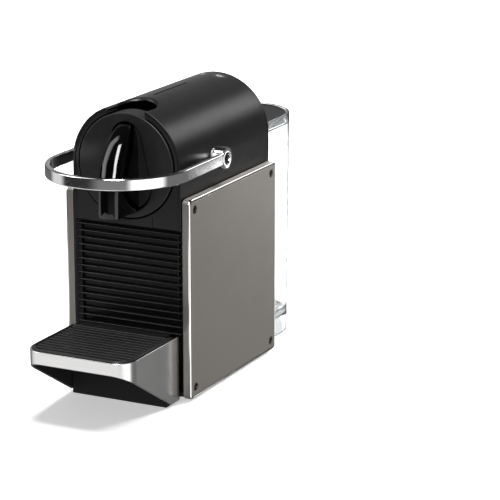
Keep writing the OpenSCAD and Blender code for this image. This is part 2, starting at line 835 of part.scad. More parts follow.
module container_grille() {
  color(dark) {
    block([-inner_r + 0.4, backing_y, bin_z], [inner_r - 0.4, backing_y + backing_t, fascia_z - 1.6]);
    for (i = [0:blade_count - 1]) {
      z = blade_top - i * blade_pitch;
      block([-blade_hw, blade_y, z - blade_h], [blade_hw, backing_y, z]);
    }
    both_sides() block([blade_hw - 3.4, blade_y + 1.2, blade_top - blade_count * blade_pitch],
                       [blade_hw - 2.2, backing_y, blade_top]);
  }
}

module capsule_container() {
  y1 = container_y + container_l;
  color(dark) difference() {
    block([-container_hw, container_y, bin_z], [container_hw, y1, bin_top]);
    block([container_wall - container_hw, container_y + container_wall, bin_z + 2],
          [container_hw - container_wall, y1 - container_wall, bin_top + eps]);
  }
}

// The drip base: a foot in front with a shallow basin, the floor under the container, and two
// ears that hold the cup support's hinge
module drip_base() {
  z0 = 0.3;
  lip = 2;
  basin_d = 6;
  color(dark) {
    difference() {
      block([-foot_hw, foot_y, z0], [foot_hw, frame_y - 0.4, foot_top]);
      block([lip - foot_hw, foot_y + lip, foot_top - basin_d], [foot_hw - lip, hinge_y - 5, foot_top + eps]);
    }
    block([-container_hw - 0.8, frame_y - 0.4, container_z],
          [container_hw + 0.8, container_y + container_l, bin_z]);
    both_sides() difference() {
      union() {
        block([ear_x[0], hinge_y - 4.4, foot_top], [ear_x[1], hinge_y + 4.4, hinge_z]);
        bar_x(ear_x[0], ear_x[1], hinge_y, hinge_z, 4.4);
      }
      bar_x(ear_x[0] - eps, ear_x[1] + eps, hinge_y, hinge_z, hinge_r);
    }
  }
}

module hinge_pins() {
  color(steel) both_sides() bar_x(ear_x[0], liner_x[1] - 0.2, hinge_y, hinge_z, hinge_r);
}

// ---- cup support ---------------------------------------------------------------------------

// The support's outline in plan, taken in by t, from its front to y1
module support_plan(t, y1) {
  hw = support_hw - t;
  r = support_r - t;
  y0 = support_y + t;
  for (s = [-1, 1]) translate([s * (hw - r), y0 + r]) circle(r);
  translate([r - hw, y0]) square([2 * (hw - r), y1 - y0]);
  translate([-hw, y0 + r]) square([2 * hw, y1 - y0 - r]);
}

// The side view of the wedge over the support's sloping lower edge, raised by up
module wedge(up, top) {
  low_z = 2.6 + up;
  lip_z = support_z - support_lip + up;
  run_y = support_y + (lip_z - low_z) / slope;
  polygon([[support_y - eps, lip_z], [support_y, lip_z], [run_y, low_z], [support_rear, low_z],
           [support_rear, top], [support_y - eps, top]]);
}

module cup_support_band() {
  color(steel) intersection() {
    along_z(0, support_z) difference() {
      support_plan(0, support_rear);
      support_plan(band_t, support_rear + eps);
    }
    along_x(-support_hw - eps, support_hw + eps) wedge(0, support_z);
  }
}

// The black liner inside the band, with the drip pan under the grid
module support_liner() {
  pan_t = 1.6;
  color(dark) {
    difference() {
      intersection() {
        along_z(0, grid_z) difference() {
          support_plan(band_t, support_rear - 0.3);
          support_plan(band_t + 1.6, support_rear + eps);
        }
        along_x(-support_hw, support_hw) wedge(0.5, grid_z);
      }
      both_sides() bar_x(liner_x[0] - eps, liner_x[1] + eps, hinge_y, hinge_z, hinge_r + fit);
    }
    along_z(pan_z, pan_z + pan_t) support_plan(band_t + 1.6, notch_y);
    block([-liner_x[0], notch_y - 1.6, pan_z], [liner_x[0], notch_y, grid_z]);
  }
}

module drip_grid() {
  rim = 2.2;
  rib_w = 2.5;
  play = 0.25;
  rib_z = [grid_z + 1.6, grid_top - 0.7];
  tab_x = ear_x[0] - 0.6;
  tab_y = support_rear - 0.6;
  first = support_y + band_t + 3;
  count = floor((notch_y - first) / rib_pitch);
  color(dark) {
    along_z(grid_z, grid_top) difference() {
      support_plan(band_t + play, notch_y);
      support_plan(band_t + play + rim, notch_y - rim);
    }
    intersection() {
      along_z(rib_z[0], rib_z[1]) for (i = [0:count])
        translate([-support_hw, first + i * rib_pitch]) square([support_w, rib_w]);
      along_z(grid_z, grid_top) support_plan(band_t + play + rim, notch_y - rim + 0.01);
    }
    for (x = [-22, 22]) block([x - 1, support_y + band_t + rim, grid_z], [x + 1, notch_y - rim, rib_z[0]]);
    block([-tab_x, notch_y, grid_z], [tab_x, tab_y, grid_top]);
  }
}

// ---- water tank ----------------------------------------------------------------------------

// The tank's outline in plan, taken in by t
module tank_slab(t, z) {
  translate([0, 0, z]) linear_extrude(0.01) {
    translate([0, tank_cy]) circle(tank_r - t, $fn = 72);
    for (s = [-1, 1]) translate([s * (tank_r - tank_corner), tank_y + tank_corner])
      circle(tank_corner - t, $fn = 24);
    translate([-tank_r + tank_corner, tank_y + t]) square([2 * (tank_r - tank_corner), 10]);
    translate([-tank_r + t, tank_y + tank_corner]) square([2 * (tank_r - t), tank_cy - tank_y - tank_corner]);
  }
}
function taper(z) = tank_taper * (tank_z - z) / tank_z;
module tank_solid(t, z0, z1) {
  hull() { tank_slab(t + taper(z0), z0); tank_slab(t + taper(z1), z1 - 0.01); }
}

// Above its floor the tank holds water; a ledge under the rim carries the lid
module water_tank() {
  ledge_z = tank_z - lid_skirt;
  neck_z = seat_z + 2 * seal_r + 0.1;
  color(clear) difference() {
    union() {
      difference() {
        tank_solid(0, tank_bottom, tank_z);
        tank_solid(tank_wall, water_z, ledge_z - 1.2);
        tank_solid(tank_wall + 1.4, ledge_z - 2, ledge_z + 1);
        tank_solid(tank_wall, ledge_z, tank_z + eps);
        tank_solid(tank_wall, tank_bottom - eps, tank_floor_z);
      }
      bar_z(neck_z, tank_floor_z + 0.5, 0, tank_cy, valve_r);
    }
    block([-dock_hw - 0.6, tank_y - eps, tank_bottom - eps],
          [dock_hw + 0.6, tank_y + tank_corner, dock_z + 0.6]);
    bar_z(neck_z - eps, water_z + eps, 0, tank_cy, 5);
  }
}

module tank_filter() {
  color(white) block([tank_r - 14, tank_cy - 17, water_z], [tank_r - 5, tank_cy - 3, water_z + 8]);
}

module valve_cage() {
  color(dark) difference() {
    bar_z(water_z, spring_z[1] + 1.6, 0, tank_cy, 10);
    bar_z(water_z - eps, spring_z[1], 0, tank_cy, 8.4);
    for (a = [0, 45, 90, 135])
      translate([0, tank_cy, water_z + 3.4]) rotate([0, 0, a]) cube([30, 4, 4.8], center = true);
  }
}

module valve_poppet() {
  color(white) {
    bar_z(water_z, water_z + poppet_t, 0, tank_cy, 7);
    bar_z(pin_top + slack, water_z, 0, tank_cy, 3);
  }
}

module valve_spring() {
  coil_r = 4.6;
  wire_r = 0.45;
  turns = 3;
  steps = 14;
  z0 = spring_z[0] + wire_r;
  rise = spring_z[1] - spring_z[0] - 2 * wire_r;
  path = [for (i = [0:turns * steps]) let (a = 360 * i / steps)
    [coil_r * cos(a), tank_cy + coil_r * sin(a), z0 + rise * i / (turns * steps)]];
  color(steel) hose(path, wire_r, 8, path[1] - path[0], path[len(path) - 1] - path[len(path) - 2]);
}

module tank_lid() {
  t = tank_wall + 0.4;
  module plan(d) {
    translate([0, tank_cy]) circle(tank_r - d);
    rounded([d - tank_r, tank_y + d], [tank_r - d, tank_cy], max(tank_corner - d, 1));
    translate([d - tank_r, tank_cy - 10]) square([2 * (tank_r - d), 10]);
  }
  color(plastic) difference() {
    along_z(tank_z - lid_skirt, tank_z) plan(t);
    along_z(tank_z - lid_skirt - eps, tank_z - lid_t) plan(t + 2);
  }
}

// ---- every node ----------------------------------------------------------------------------

base_plate();
rubber_feet();
left_frame();
right_frame();
bulkhead();
mid_deck();
barrel_casing();
front_fascia();
left_side_panel();
right_side_panel();
panel_screws();
back_cover();
cord_gland();
control_panel();
switch_board();
brew_cage();
needle_plate();
cage_seal();
thermoblock();
pump();
pump_mounts();
flow_meter();
inlet_hose();
suction_hose();
pressure_hose();
control_board();
tank_dock();
dock_seal();
pivot_bushes();
lever_band();
pivot_shafts();
lever_screws();
crank_arms();
head_face();
head_shroud();
spout_hood();
outlet_nozzle();
extraction_plate();
head_side_plates();
container_grille();
capsule_container();
drip_base();
hinge_pins();
cup_support_band();
support_liner();
drip_grid();
small_cup_button();
large_cup_button();
water_tank();
tank_filter();
valve_cage();
valve_spring();
valve_poppet();
tank_lid();
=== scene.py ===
import json
import math

import bmesh
import bpy
from mathutils import Matrix, Vector

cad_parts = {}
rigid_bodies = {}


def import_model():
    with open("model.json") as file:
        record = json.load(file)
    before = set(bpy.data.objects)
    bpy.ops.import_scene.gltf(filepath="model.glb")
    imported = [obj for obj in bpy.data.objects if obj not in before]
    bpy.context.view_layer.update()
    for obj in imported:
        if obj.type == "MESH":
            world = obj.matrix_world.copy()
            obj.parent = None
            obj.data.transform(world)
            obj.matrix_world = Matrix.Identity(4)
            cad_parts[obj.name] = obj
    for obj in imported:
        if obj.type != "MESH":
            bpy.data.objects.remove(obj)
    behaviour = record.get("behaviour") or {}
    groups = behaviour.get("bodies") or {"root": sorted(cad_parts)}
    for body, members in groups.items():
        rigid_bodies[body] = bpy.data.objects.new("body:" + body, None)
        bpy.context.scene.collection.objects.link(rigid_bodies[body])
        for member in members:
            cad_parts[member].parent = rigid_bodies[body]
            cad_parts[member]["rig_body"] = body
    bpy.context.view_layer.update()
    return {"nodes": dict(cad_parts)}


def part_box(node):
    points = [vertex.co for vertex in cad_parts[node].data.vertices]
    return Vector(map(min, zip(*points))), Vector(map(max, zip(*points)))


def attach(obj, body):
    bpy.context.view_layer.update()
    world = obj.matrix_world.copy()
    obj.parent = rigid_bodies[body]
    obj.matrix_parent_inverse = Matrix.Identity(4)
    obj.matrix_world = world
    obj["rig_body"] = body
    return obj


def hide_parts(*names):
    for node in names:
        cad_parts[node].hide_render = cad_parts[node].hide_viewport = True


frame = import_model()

MM = 0.001


# ---- measures taken from the part, in millimetres ----

def box_mm(node):
    low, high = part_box(node)
    return low / MM, high / MM


casing_low, casing_high = box_mm("barrel_casing")
casing_r = casing_high.x
front_y, rear_y = casing_low.y, casing_high.y
skirt_z, top_z = casing_low.z, casing_high.z
axis_z = top_z - casing_r
wall = 2.4
inner_r = casing_r - wall
slot_hw, slot_length = 17.0, 32.6   # capsule slot
slot_end = front_y + slot_length
panel_low, panel_high = box_mm("control_panel")
control_hw, control_y = panel_high.x, panel_low.y
large_low, large_high = box_mm("large_cup_button")
button_x = 8.0
button_y = (large_low.y + large_high.y) / 2
button_r = (large_high.y - large_low.y) / 2
button_tilt = math.asin(button_x / casing_r)
face_low, face_high = box_mm("head_face")
head_y, head_r = face_low.y, face_high.x
head_t, recess_depth = 4.0, 6.0
head_back = head_y + head_t
pocket_y = head_y + recess_depth
ring_gap = 1.1                      # between the head and the fascia's opening
ring_r = head_r + ring_gap
plate_y = head_y                    # the fascia is flush with the head
spout_low, spout_high = box_mm("spout_hood")
spout_hw, spout_tip, spout_z = spout_high.x, spout_low.y, spout_low.z
spout_nose, outlet_set_back = 5.2, 3.4
outlet_y = spout_tip + spout_nose + outlet_set_back
lever_low, lever_high = box_mm("lever_band")
lever_x = lever_high.x
lever_front = lever_low.y
ring_od = (lever_high.z - lever_low.z) / 2
pivot_z = (lever_high.z + lever_low.z) / 2
pivot_y = lever_high.y - ring_od
lever_t, lever_h, boss_gap = 4.0, 9.6, 1.45
bow_y = lever_front + lever_x
boss_x = casing_r + boss_gap
bore_r = 7.05                       # for the pivot bushes
side_low, side_high = box_mm("right_side_panel")
panel_t, panel_corner, bead_r = 7.0, 4.0, 1.5
outer_x, slab_x = side_high.x, side_high.x - panel_t
screw_inset, counterbore, head_sink = 8.9, 3.5, 3.4
screw_spots = [(y, z) for y in (side_low.y + screw_inset, side_high.y - screw_inset)
               for z in (side_low.z + screw_inset, side_high.z - screw_inset)]
band_low, band_high = box_mm("cup_support_band")
support_hw, support_y, support_rear, support_z = band_high.x, band_low.y, band_high.y, band_high.z
support_low = band_low.z
support_lip, support_r, band_t, slope = 10.2, 16.0, 1.6, 0.604
grid_low, grid_high = box_mm("drip_grid")
notch_y = front_y - 5.4 - 6.2
tank_low, tank_high = box_mm("water_tank")
tank_r = tank_high.x
tank_front, tank_cy = tank_low.y, tank_high.y - tank_r
tank_top, tank_bottom = tank_high.z, tank_low.z
tank_wall, tank_corner, tank_taper = 2.2, 6.0, 1.6
tank_floor = 18.0
lid_low, lid_high = box_mm("tank_lid")
grille_low, grille_high = box_mm("container_grille")


# ---- shaders ----

class Wire:
    """A shader socket that can be used in sums."""

    def __init__(self, finish, socket):
        self.finish, self.socket = finish, socket

    def sum(self, operation, a, b):
        return self.finish.node("ShaderNodeMath", {"operation": operation}, {0: a, 1: b})

    def __add__(self, other):
        return self.sum("ADD", self, other)

    def __radd__(self, other):
        return self.sum("ADD", other, self)

    def __sub__(self, other):
        return self.sum("SUBTRACT", self, other)

    def __rsub__(self, other):
        return self.sum("SUBTRACT", other, self)

    def __mul__(self, other):
        return self.sum("MULTIPLY", self, other)

    def __rmul__(self, other):
        return self.sum("MULTIPLY", other, self)

    def __pow__(self, other):
        return self.sum("POWER", self, other)

    def __rpow__(self, other):
        return self.sum("POWER", other, self)

    def __gt__(self, other):
        return self.sum("GREATER_THAN", self, other)

    def __lt__(self, other):
        return self.sum("LESS_THAN", self, other)

    def higher(self, other):
        return self.sum("MAXIMUM", self, other)


def rgba(colour):
    """A plain colour made opaque; a wire stays as it is."""
    return (*colour, 1) if isinstance(colour, tuple) else colour


class Finish:
    """A material made of shader nodes; places are in millimetres in the part's frame."""

    def __init__(self, name=None, tree=None):
        if name:
            self.material = bpy.data.materials.new(name)
            self.material.use_nodes = True
            tree = self.material.node_tree
        self.tree = tree
        tree.nodes.clear()

    def node(self, kind, settings=None, sockets=None, out=0):
        made = self.tree.nodes.new(kind)
        for key, value in (settings or {}).items():
            setattr(made, key, value)
        for key, value in (sockets or {}).items():
            if isinstance(value, Wire):
                self.tree.links.new(value.socket, made.inputs[key])
            elif value is not None:
                made.inputs[key].default_value = value
        return Wire(self, made.outputs[out])

    def place(self, stretch=(1, 1, 1)):
        """Object coordinates in millimetres, multiplied by stretch."""
        spot = self.node("ShaderNodeTexCoord", out=3)
        return self.node("ShaderNodeVectorMath", {"operation": "MULTIPLY"},
                         {0: spot, 1: [s / MM for s in stretch]})

    def axis(self, letter):
        return self.node("ShaderNodeSeparateXYZ", sockets={0: self.place()}, out="XYZ".index(letter))

    def noise(self, size, detail=2.0, stretch=(1, 1, 1), rough=0.5):
        """Noise with blotches of about size millimetres."""
        return self.node("ShaderNodeTexNoise", sockets={"Vector": self.place([s / size for s in stretch]),
                             "Scale": 1.0, "Detail": detail, "Roughness": rough})

    def cells(self, size, feature="F1", stretch=(1, 1, 1)):
        return self.node("ShaderNodeTexVoronoi", {"feature": feature},
                         {"Vector": self.place([s / size for s in stretch]), "Scale": 1.0})

    def mix(self, mask, first, second):
        """first where mask is 0, second where it is 1."""
        return self.node("ShaderNodeMix", {"data_type": "RGBA"}, {0: mask, 6: rgba(first), 7: rgba(second)},
                         out=2)

    def spread(self, value, low, high, to_low=0.0, to_high=1.0):
        """value taken from low..high to to_low..to_high, and held there."""
        return self.node("ShaderNodeMapRange", {"clamp": True},
                         {"Value": value, "From Min": low, "From Max": high, "To Min": to_low,
                          "To Max": to_high})

    def bump(self, height, depth, under=None):
        """A normal from a height of 0..1 that is depth millimetres tall."""
        return self.node("ShaderNodeBump", sockets={"Strength": 1.0, "Distance": depth * MM,
                             "Height": height, "Normal": under})

    def surface(self, **sockets):
        names = {key.replace("_", " ").title().replace("Ior", "IOR"): value for key, value in sockets.items()}
        shader = self.node("ShaderNodeBsdfPrincipled", sockets={k: rgba(v) for k, v in names.items()})
        self.close("ShaderNodeOutputMaterial", shader)
        return self.material

    def close(self, kind, shader):
        end = self.tree.nodes.new(kind)
        self.tree.links.new(shader.socket, end.inputs[0])


def shade(colour, k):
    return tuple(min(1.0, c * k) for c in colour)


def moulded(name, colour, roughness, grain=0.5, depth=0.02, specular=0.5):
    """Moulded plastic: slow colour drift, spark-eroded grain and a few dull handling patches."""
    f = Finish(name)
    drift = f.noise(22, 3)
    speck = f.noise(grain, 3, rough=0.6)
    touched = f.spread(f.noise(9, 4), 0.52, 0.72)
    tint = f.mix(drift, shade(colour, 0.88), shade(colour, 1.14))
    tint = f.mix(touched * 0.25, tint, shade(colour, 1.35))
    return f.surface(base_color=tint, roughness=roughness + (speck - 0.5) * 0.10 + touched * 0.05,
                     specular_ior_level=specular, normal=f.bump(speck, depth))


def polished(name, colour, roughness, smudge=0.06):
    """Chromed metal with a faint lap direction and thumb smudges."""
    f = Finish(name)
    lap = f.noise(0.5, 3, stretch=(0.08, 0.08, 1))
    thumb = f.spread(f.noise(14, 4), 0.5, 0.75)
    tint = f.mix(thumb * 0.5, colour, shade(colour, 0.9))
    return f.surface(base_color=tint, metallic=1.0, roughness=roughness + lap * 0.03 + thumb * smudge,
                     normal=f.bump(lap, 0.0015))


def brushed(name, colour, roughness, stretch, depth=0.004):
    """Brushed metal: long scratches across stretch's large axis."""
    f = Finish(name)
    line = f.noise(0.35, 4, stretch=stretch, rough=0.7)
    coarse = f.noise(2.2, 2, stretch=stretch)
    tint = f.mix(line * 0.6 + coarse * 0.4, shade(colour, 0.86), shade(colour, 1.1))
    return f.surface(base_color=tint, metallic=1.0, roughness=roughness + (line - 0.5) * 0.14,
                     normal=f.bump(line, depth))


def metallic_paint(name, colour, roughness, metal=0.45):
    """Warm metallic lacquer: flakes under a thin clear coat."""
    f = Finish(name)
    flake = f.cells(0.16)
    cloud = f.noise(30, 2)
    streak = f.noise(1.4, 3, stretch=(1, 1, 0.02))
    tint = f.mix(cloud * 0.5 + streak * 0.3 + flake * 0.2, shade(colour, 0.92), shade(colour, 1.09))
    return f.surface(base_color=tint, metallic=metal,
                     roughness=roughness + (flake - 0.5) * 0.06 + (streak - 0.5) * 0.05,
                     coat_weight=0.15, coat_roughness=0.25, normal=f.bump(flake, 0.002))


def grained(name, colour, roughness):
    """Black plastic with a fine leather grain."""
    f = Finish(name)
    pebble = f.spread(f.cells(0.85, "DISTANCE_TO_EDGE"), 0.0, 0.22)
    fine = f.noise(0.3, 2)
    tint = f.mix(pebble, shade(colour, 0.65), shade(colour, 1.2))
    return f.surface(base_color=tint, roughness=roughness - pebble * 0.06 + (fine - 0.5) * 0.1,
                     normal=f.bump(pebble * 0.8 + fine * 0.2, 0.06))


def cast(name, colour, roughness):
    f = Finish(name)
    sand = f.noise(0.7, 5, rough=0.7)
    stain = f.noise(12, 3)
    tint = f.mix(stain, shade(colour, 0.8), shade(colour, 1.1))
    return f.surface(base_color=tint, metallic=1.0, roughness=roughness + sand * 0.2,
                     normal=f.bump(sand, 0.08))


def rubbery(name, colour):
    f = Finish(name)
    fine = f.noise(0.25, 2)
    bloom = f.spread(f.noise(6, 3), 0.5, 0.8)
    tint = f.mix(bloom * 0.5, colour, shade(colour, 2.2))
    return f.surface(base_color=tint, roughness=0.72 + fine * 0.12, normal=f.bump(fine, 0.03))


def circuit(name):
    """Green solder mask with copper tracks."""
    f = Finish(name)
    cell = f.cells(3.0, "DISTANCE_TO_EDGE")
    track = f.spread(cell, 0.03, 0.06, 1.0, 0.0)
    tint = f.mix(track, (0.03, 0.16, 0.07), (0.10, 0.33, 0.14))
    return f.surface(base_color=tint, roughness=0.35 + track * 0.1, normal=f.bump(track, 0.03))


def braid(name, colour):
    """A woven sleeve: two sets of strands that cross."""
    f = Finish(name)
    x, y, z = f.axis("X"), f.axis("Y"), f.axis("Z")
    one = f.node("ShaderNodeMath", {"operation": "SINE"}, {0: (x + y + z) * 3.6})
    other = f.node("ShaderNodeMath", {"operation": "SINE"}, {0: (x - z + y * 0.4) * 3.6})
    weave = f.spread(one.higher(other), 0.0, 1.0)
    tint = f.mix(weave, shade(colour, 0.55), colour)
    return f.surface(base_color=tint, roughness=0.75 - weave * 0.15, normal=f.bump(weave, 0.12))


def clear_plastic(name):
    f = Finish(name)
    ripple = f.noise(8, 2, stretch=(1, 1, 0.25))
    dust = f.noise(0.6, 3)
    tint = f.mix(ripple, (0.93, 0.965, 0.97), (0.97, 0.985, 0.985))
    # painted shade: the base colour darkens where the surface is seen edge-on, standing in for the dark lines
    # along the clear tank's edges
    painted_edge_shade = f.spread(f.node("ShaderNodeLayerWeight", sockets={"Blend": 0.5}, out=1), 0.62, 0.96)
    tint = f.mix(painted_edge_shade, tint, (0.28, 0.31, 0.32))
    return f.surface(base_color=tint, roughness=0.05 + dust * 0.04, transmission_weight=1.0, ior=1.46,
                     normal=f.bump(ripple, 0.05))


def cup_mark(f, x, y, size):
    """A cup drawn with lines: bowl, rim, handle and saucer, 0 or 1."""
    half_line = 0.24
    away = (x * x + y * y) ** 0.5
    bowl = ((away - size < half_line) * (size - away < half_line)) * (y < 0.3 * size)
    rim = (y - 0.3 * size < half_line) * (0.3 * size - y < half_line) * (x < size) * (x > -size)
    hx, hy = x - 1.2 * size, y + 0.25 * size
    loop = (hx * hx + hy * hy) ** 0.5
    handle = (loop - 0.42 * size < half_line) * (0.42 * size - loop < half_line) * (x > size * 0.95)
    saucer = (y + 1.45 * size < half_line) * (-1.45 * size - y < half_line)
    saucer = saucer * (x < size * 1.1) * (x > -size * 1.1)
    return bowl.higher(rim).higher(handle).higher(saucer)


def button_finish(name, centre_x, size):
    f = Finish(name)
    speck = f.noise(0.4, 3)
    x, y = f.axis("X") - centre_x, f.axis("Y") - button_y
    mark = cup_mark(f, x, y - 0.6, size)
    tint = f.mix(mark, (0.022, 0.022, 0.024), (0.55, 0.55, 0.55))
    return f.surface(base_color=tint, roughness=0.38 + (speck - 0.5) * 0.1 + mark * 0.1,
                     normal=f.bump(speck, 0.01))


satin_black = moulded("satin_black", (0.006, 0.006, 0.0063), 0.33, grain=0.35, depth=0.006, specular=0.36)
head_black = moulded("head_black", (0.009, 0.009, 0.0095), 0.38, grain=0.35, depth=0.006, specular=0.45)
fascia_black = moulded("fascia_black", (0.0055, 0.0055, 0.006), 0.42, grain=0.35, depth=0.008, specular=0.36)
piano_black = moulded("piano_black", (0.0015, 0.0015, 0.0017), 0.08, grain=3.0, depth=0.0006, specular=0.5)
# painted shade: a darker, less shiny black than the head's, for the recess in the head, standing in for the
# shade inside it
recess_painted_shade = moulded("recess_painted_shade", (0.0008, 0.0008, 0.0009), 0.25, grain=1.0, depth=0.001, specular=0.10)
# painted shade: the grille's blades and backing use a black darker than the other blacks, standing in for the
# shade between the blades
louvre_painted_shade = moulded("louvre_painted_shade", (0.002, 0.002, 0.0022), 0.34, grain=0.4, depth=0.006, specular=0.2)
# painted highlight: a lighter black for the blades' front lips, standing in for the light along them
lip_painted_highlight = moulded("lip_painted_highlight", (0.050, 0.050, 0.052), 0.30, grain=0.4, depth=0.006)
dull_black = moulded("dull_black", (0.010, 0.010, 0.011), 0.55, grain=0.5, depth=0.03, specular=0.35)
grid_black = moulded("grid_black", (0.011, 0.011, 0.0115), 0.46, grain=0.5, depth=0.02)
inner_black = moulded("inner_black", (0.012, 0.012, 0.012), 0.6, grain=0.8, depth=0.05, specular=0.3)
glass_filled = moulded("glass_filled_plastic", (0.035, 0.035, 0.037), 0.5, grain=1.2, depth=0.04)
pale_plastic = moulded("pale_plastic", (0.62, 0.61, 0.57), 0.42, grain=0.6, depth=0.02)
acetal = moulded("acetal", (0.68, 0.68, 0.65), 0.32, grain=0.5, depth=0.01)
pump_plastic = moulded("pump_plastic", (0.42, 0.40, 0.35), 0.5, grain=0.9, depth=0.04)
lid_grain = grained("lid_grain", (0.009, 0.009, 0.0095), 0.52)
bronze = metallic_paint("bronze_lacquer", (0.335, 0.315, 0.292), 0.40)
bead_metal = polished("bead_metal", (0.90, 0.88, 0.85), 0.10)
chrome = polished("chrome", (0.80, 0.80, 0.81), 0.10)
steel_band = brushed("steel_band", (0.72, 0.715, 0.71), 0.24, (0.03, 0.03, 1))
turned_steel = brushed("turned_steel", (0.55, 0.55, 0.56), 0.30, (1, 0.05, 0.05))
stamped_steel = brushed("stamped_steel", (0.58, 0.58, 0.59), 0.34, (0.1, 1, 0.1))
wire_steel = brushed("wire_steel", (0.60, 0.60, 0.61), 0.30, (0.5, 0.5, 1))
black_screw = polished("black_screw", (0.045, 0.045, 0.047), 0.30)
# painted shade: the lever's cap screws take a near-black colour so that the bore of the lever's ring reads as
# dark shade
cap_screw_shade = moulded("cap_screw_painted_shade", (0.003, 0.003, 0.003), 0.25, grain=0.6, depth=0.004)
cast_metal = cast("cast_metal", (0.50, 0.50, 0.51), 0.42)
foot_rubber = rubbery("foot_rubber", (0.014, 0.014, 0.014))
red_silicone = rubbery("red_silicone", (0.32, 0.045, 0.035))
pale_silicone = rubbery("pale_silicone", (0.60, 0.60, 0.57))
sleeve_braid = braid("sleeve_braid", (0.55, 0.52, 0.45))
board_green = circuit("board_green")
tank_clear = clear_plastic("tank_clear")
small_mark = button_finish("small_cup_mark", -button_x, 1.5)
large_mark = button_finish("large_cup_mark", button_x, 2.0)


# ---- shapes ----

def front(p, d):
    """A point of a front view, d millimetres along Y."""
    return Vector((p[0], d, p[1]))


def side(p, d):
    return Vector((d, p[0], p[1]))


def level(p, d):
    return Vector((p[0], p[1], d))


def arc(cx, cy, r, start, end, n):
    return [(cx + r * math.cos(math.radians(start + (end - start) * k / n)),
             cy + r * math.sin(math.radians(start + (end - start) * k / n))) for k in range(n + 1)]


def soft_rect(x0, x1, y0, y1, r, n=5):
    """Corner-rounded rectangle, counterclockwise."""
    return (arc(x1 - r, y1 - r, r, 0, 90, n) + arc(x0 + r, y1 - r, r, 90, 180, n)
            + arc(x0 + r, y0 + r, r, 180, 270, n) + arc(x1 - r, y0 + r, r, 270, 360, n))


def eased(outline, d0, d1, r0, r1=None, n=4):
    """Outlines with their depths for a slab whose two edges are rounded by r0 and r1."""
    r1 = r0 if r1 is None else r1
    steps = [math.radians(90 * k / n) for k in range(n + 1)]
    return ([(outline(r0 * (1 - math.sin(a))), d0 + r0 * (1 - math.cos(a))) for a in steps]
            + [(outline(r1 * (1 - math.sin(a))), d1 - r1 * (1 - math.cos(a))) for a in reversed(steps)])


def loft(rings, view=None, loop=False, mark=None):
    """Joins closed rings of points; the ends are filled unless the rings close on themselves."""
    if view:
        rings = [[view(p, d) for p in outline] for outline, d in rings]
    n = len(rings[0])
    points = [p for ring in rings for p in ring]
    faces, marks = [], []
    for k in range(len(rings) if loop else len(rings) - 1):
        a, b = k * n, (k + 1) % len(rings) * n
        for i in range(n):
            j = (i + 1) % n
            faces.append((a + i, a + j, b + j, b + i))
            marks.append(mark[k] if mark else 0)
    if not loop:
        faces += [tuple(reversed(range(n))), tuple(range((len(rings) - 1) * n, len(rings) * n))]
        marks += [mark[0], mark[-1]] if mark else [0, 0]
    return points, faces, marks


def make(name, *shapes):
    """One object from closed shapes in millimetres."""
    mesh = bpy.data.meshes.new(name)
    bm = bmesh.new()
    for points, faces, marks in shapes:
        verts = [bm.verts.new(Vector(p) * MM) for p in points]
        for face, m in zip(faces, marks):
            bm.faces.new([verts[i] for i in face]).material_index = m
    bmesh.ops.remove_doubles(bm, verts=bm.verts, dist=1e-7)
    bmesh.ops.recalc_face_normals(bm, faces=bm.faces)
    bm.to_mesh(mesh)
    bm.free()
    for k in range(1 + max(max(marks) for points, faces, marks in shapes)):
        mesh.materials.append(None)     # modifiers keep a face's mark only where its slot exists
    thing = bpy.data.objects.new(name, mesh)
    bpy.context.scene.collection.objects.link(thing)
    return thing


def settle(thing):
    """Applies the object's modifiers."""
    bpy.context.view_layer.update()
    graph = bpy.context.evaluated_depsgraph_get()
    mesh = bpy.data.meshes.new_from_object(thing.evaluated_get(graph), preserve_all_data_layers=True,
                                           depsgraph=graph)
    thing.modifiers.clear()
    thing.data = mesh
    return thing


def carve(thing, *tools, way="DIFFERENCE"):
    for tool in tools:
        m = thing.modifiers.new("carve", "BOOLEAN")
        m.operation, m.object, m.solver = way, tool, "EXACT"
        settle(thing)
        bpy.data.objects.remove(tool)
    return thing


def break_edges(thing, width, angle=35, n=2):
    m = thing.modifiers.new("edges", "BEVEL")
    m.limit_method, m.angle_limit, m.width, m.segments = "ANGLE", math.radians(angle), width * MM, n
    m.use_clamp_overlap = True
    return settle(thing)


def smooth(thing, angle=40, weighted=True):
    thing.data.polygons.foreach_set("use_smooth", [True] * len(thing.data.polygons))
    thing.data.set_sharp_from_angle(angle=math.radians(angle))
    if weighted:
        m = thing.modifiers.new("normals", "WEIGHTED_NORMAL")
        m.keep_sharp = True
        settle(thing)
    return thing


def true_round(thing):
    """Gives the barrel's outer surface the normals of a true cylinder, where cuts have split its faces."""
    mesh = thing.data
    normals = [Vector(n.vector) for n in mesh.corner_normals]
    for face in mesh.polygons:
        for i in face.loop_indices:
            spot = mesh.vertices[mesh.loops[i].vertex_index].co / MM
            out = Vector((spot.x, 0, max(spot.z - axis_z, 0)))
            if abs(out.length - casing_r) < 0.02 and face.normal.dot(out) > 0.996 * out.length:
                normals[i] = out.normalized()
    mesh.normals_split_custom_set(normals)
    return thing


def fit(thing, nodes, *finishes, slot=None):
    """Puts the finishes on a piece, and lets it stand for its nodes of the part."""
    slots = thing.data.materials
    while len(slots) > len(finishes):
        slots.pop()
    for k, f in enumerate(finishes):
        if k < len(slots):
            slots[k] = f
        else:
            slots.append(f)
    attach(thing, frame["nodes"][nodes[0]]["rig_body"])
    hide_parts(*nodes)
    slot or nodes[0]
    return thing


def prism(outline, z0, z1, view=level):
    return make("tool", loft([(outline, z0), (outline, z1)], view))


def rod(x0, x1, y, z, r, n=48):
    return make("tool", loft([(arc(y, z, r, 0, 360 - 360 / n, n - 1), x0),
                              (arc(y, z, r, 0, 360 - 360 / n, n - 1), x1)], side))


def turned(profile, place, n=48):
    """A closed profile of (radius, along) turned about an axis; place(radial, turn, along) gives the point."""
    rings = [[place(r * math.cos(2 * math.pi * k / n), r * math.sin(2 * math.pi * k / n), along)
              for k in range(n)] for r, along in profile]
    return loft(rings, loop=True)


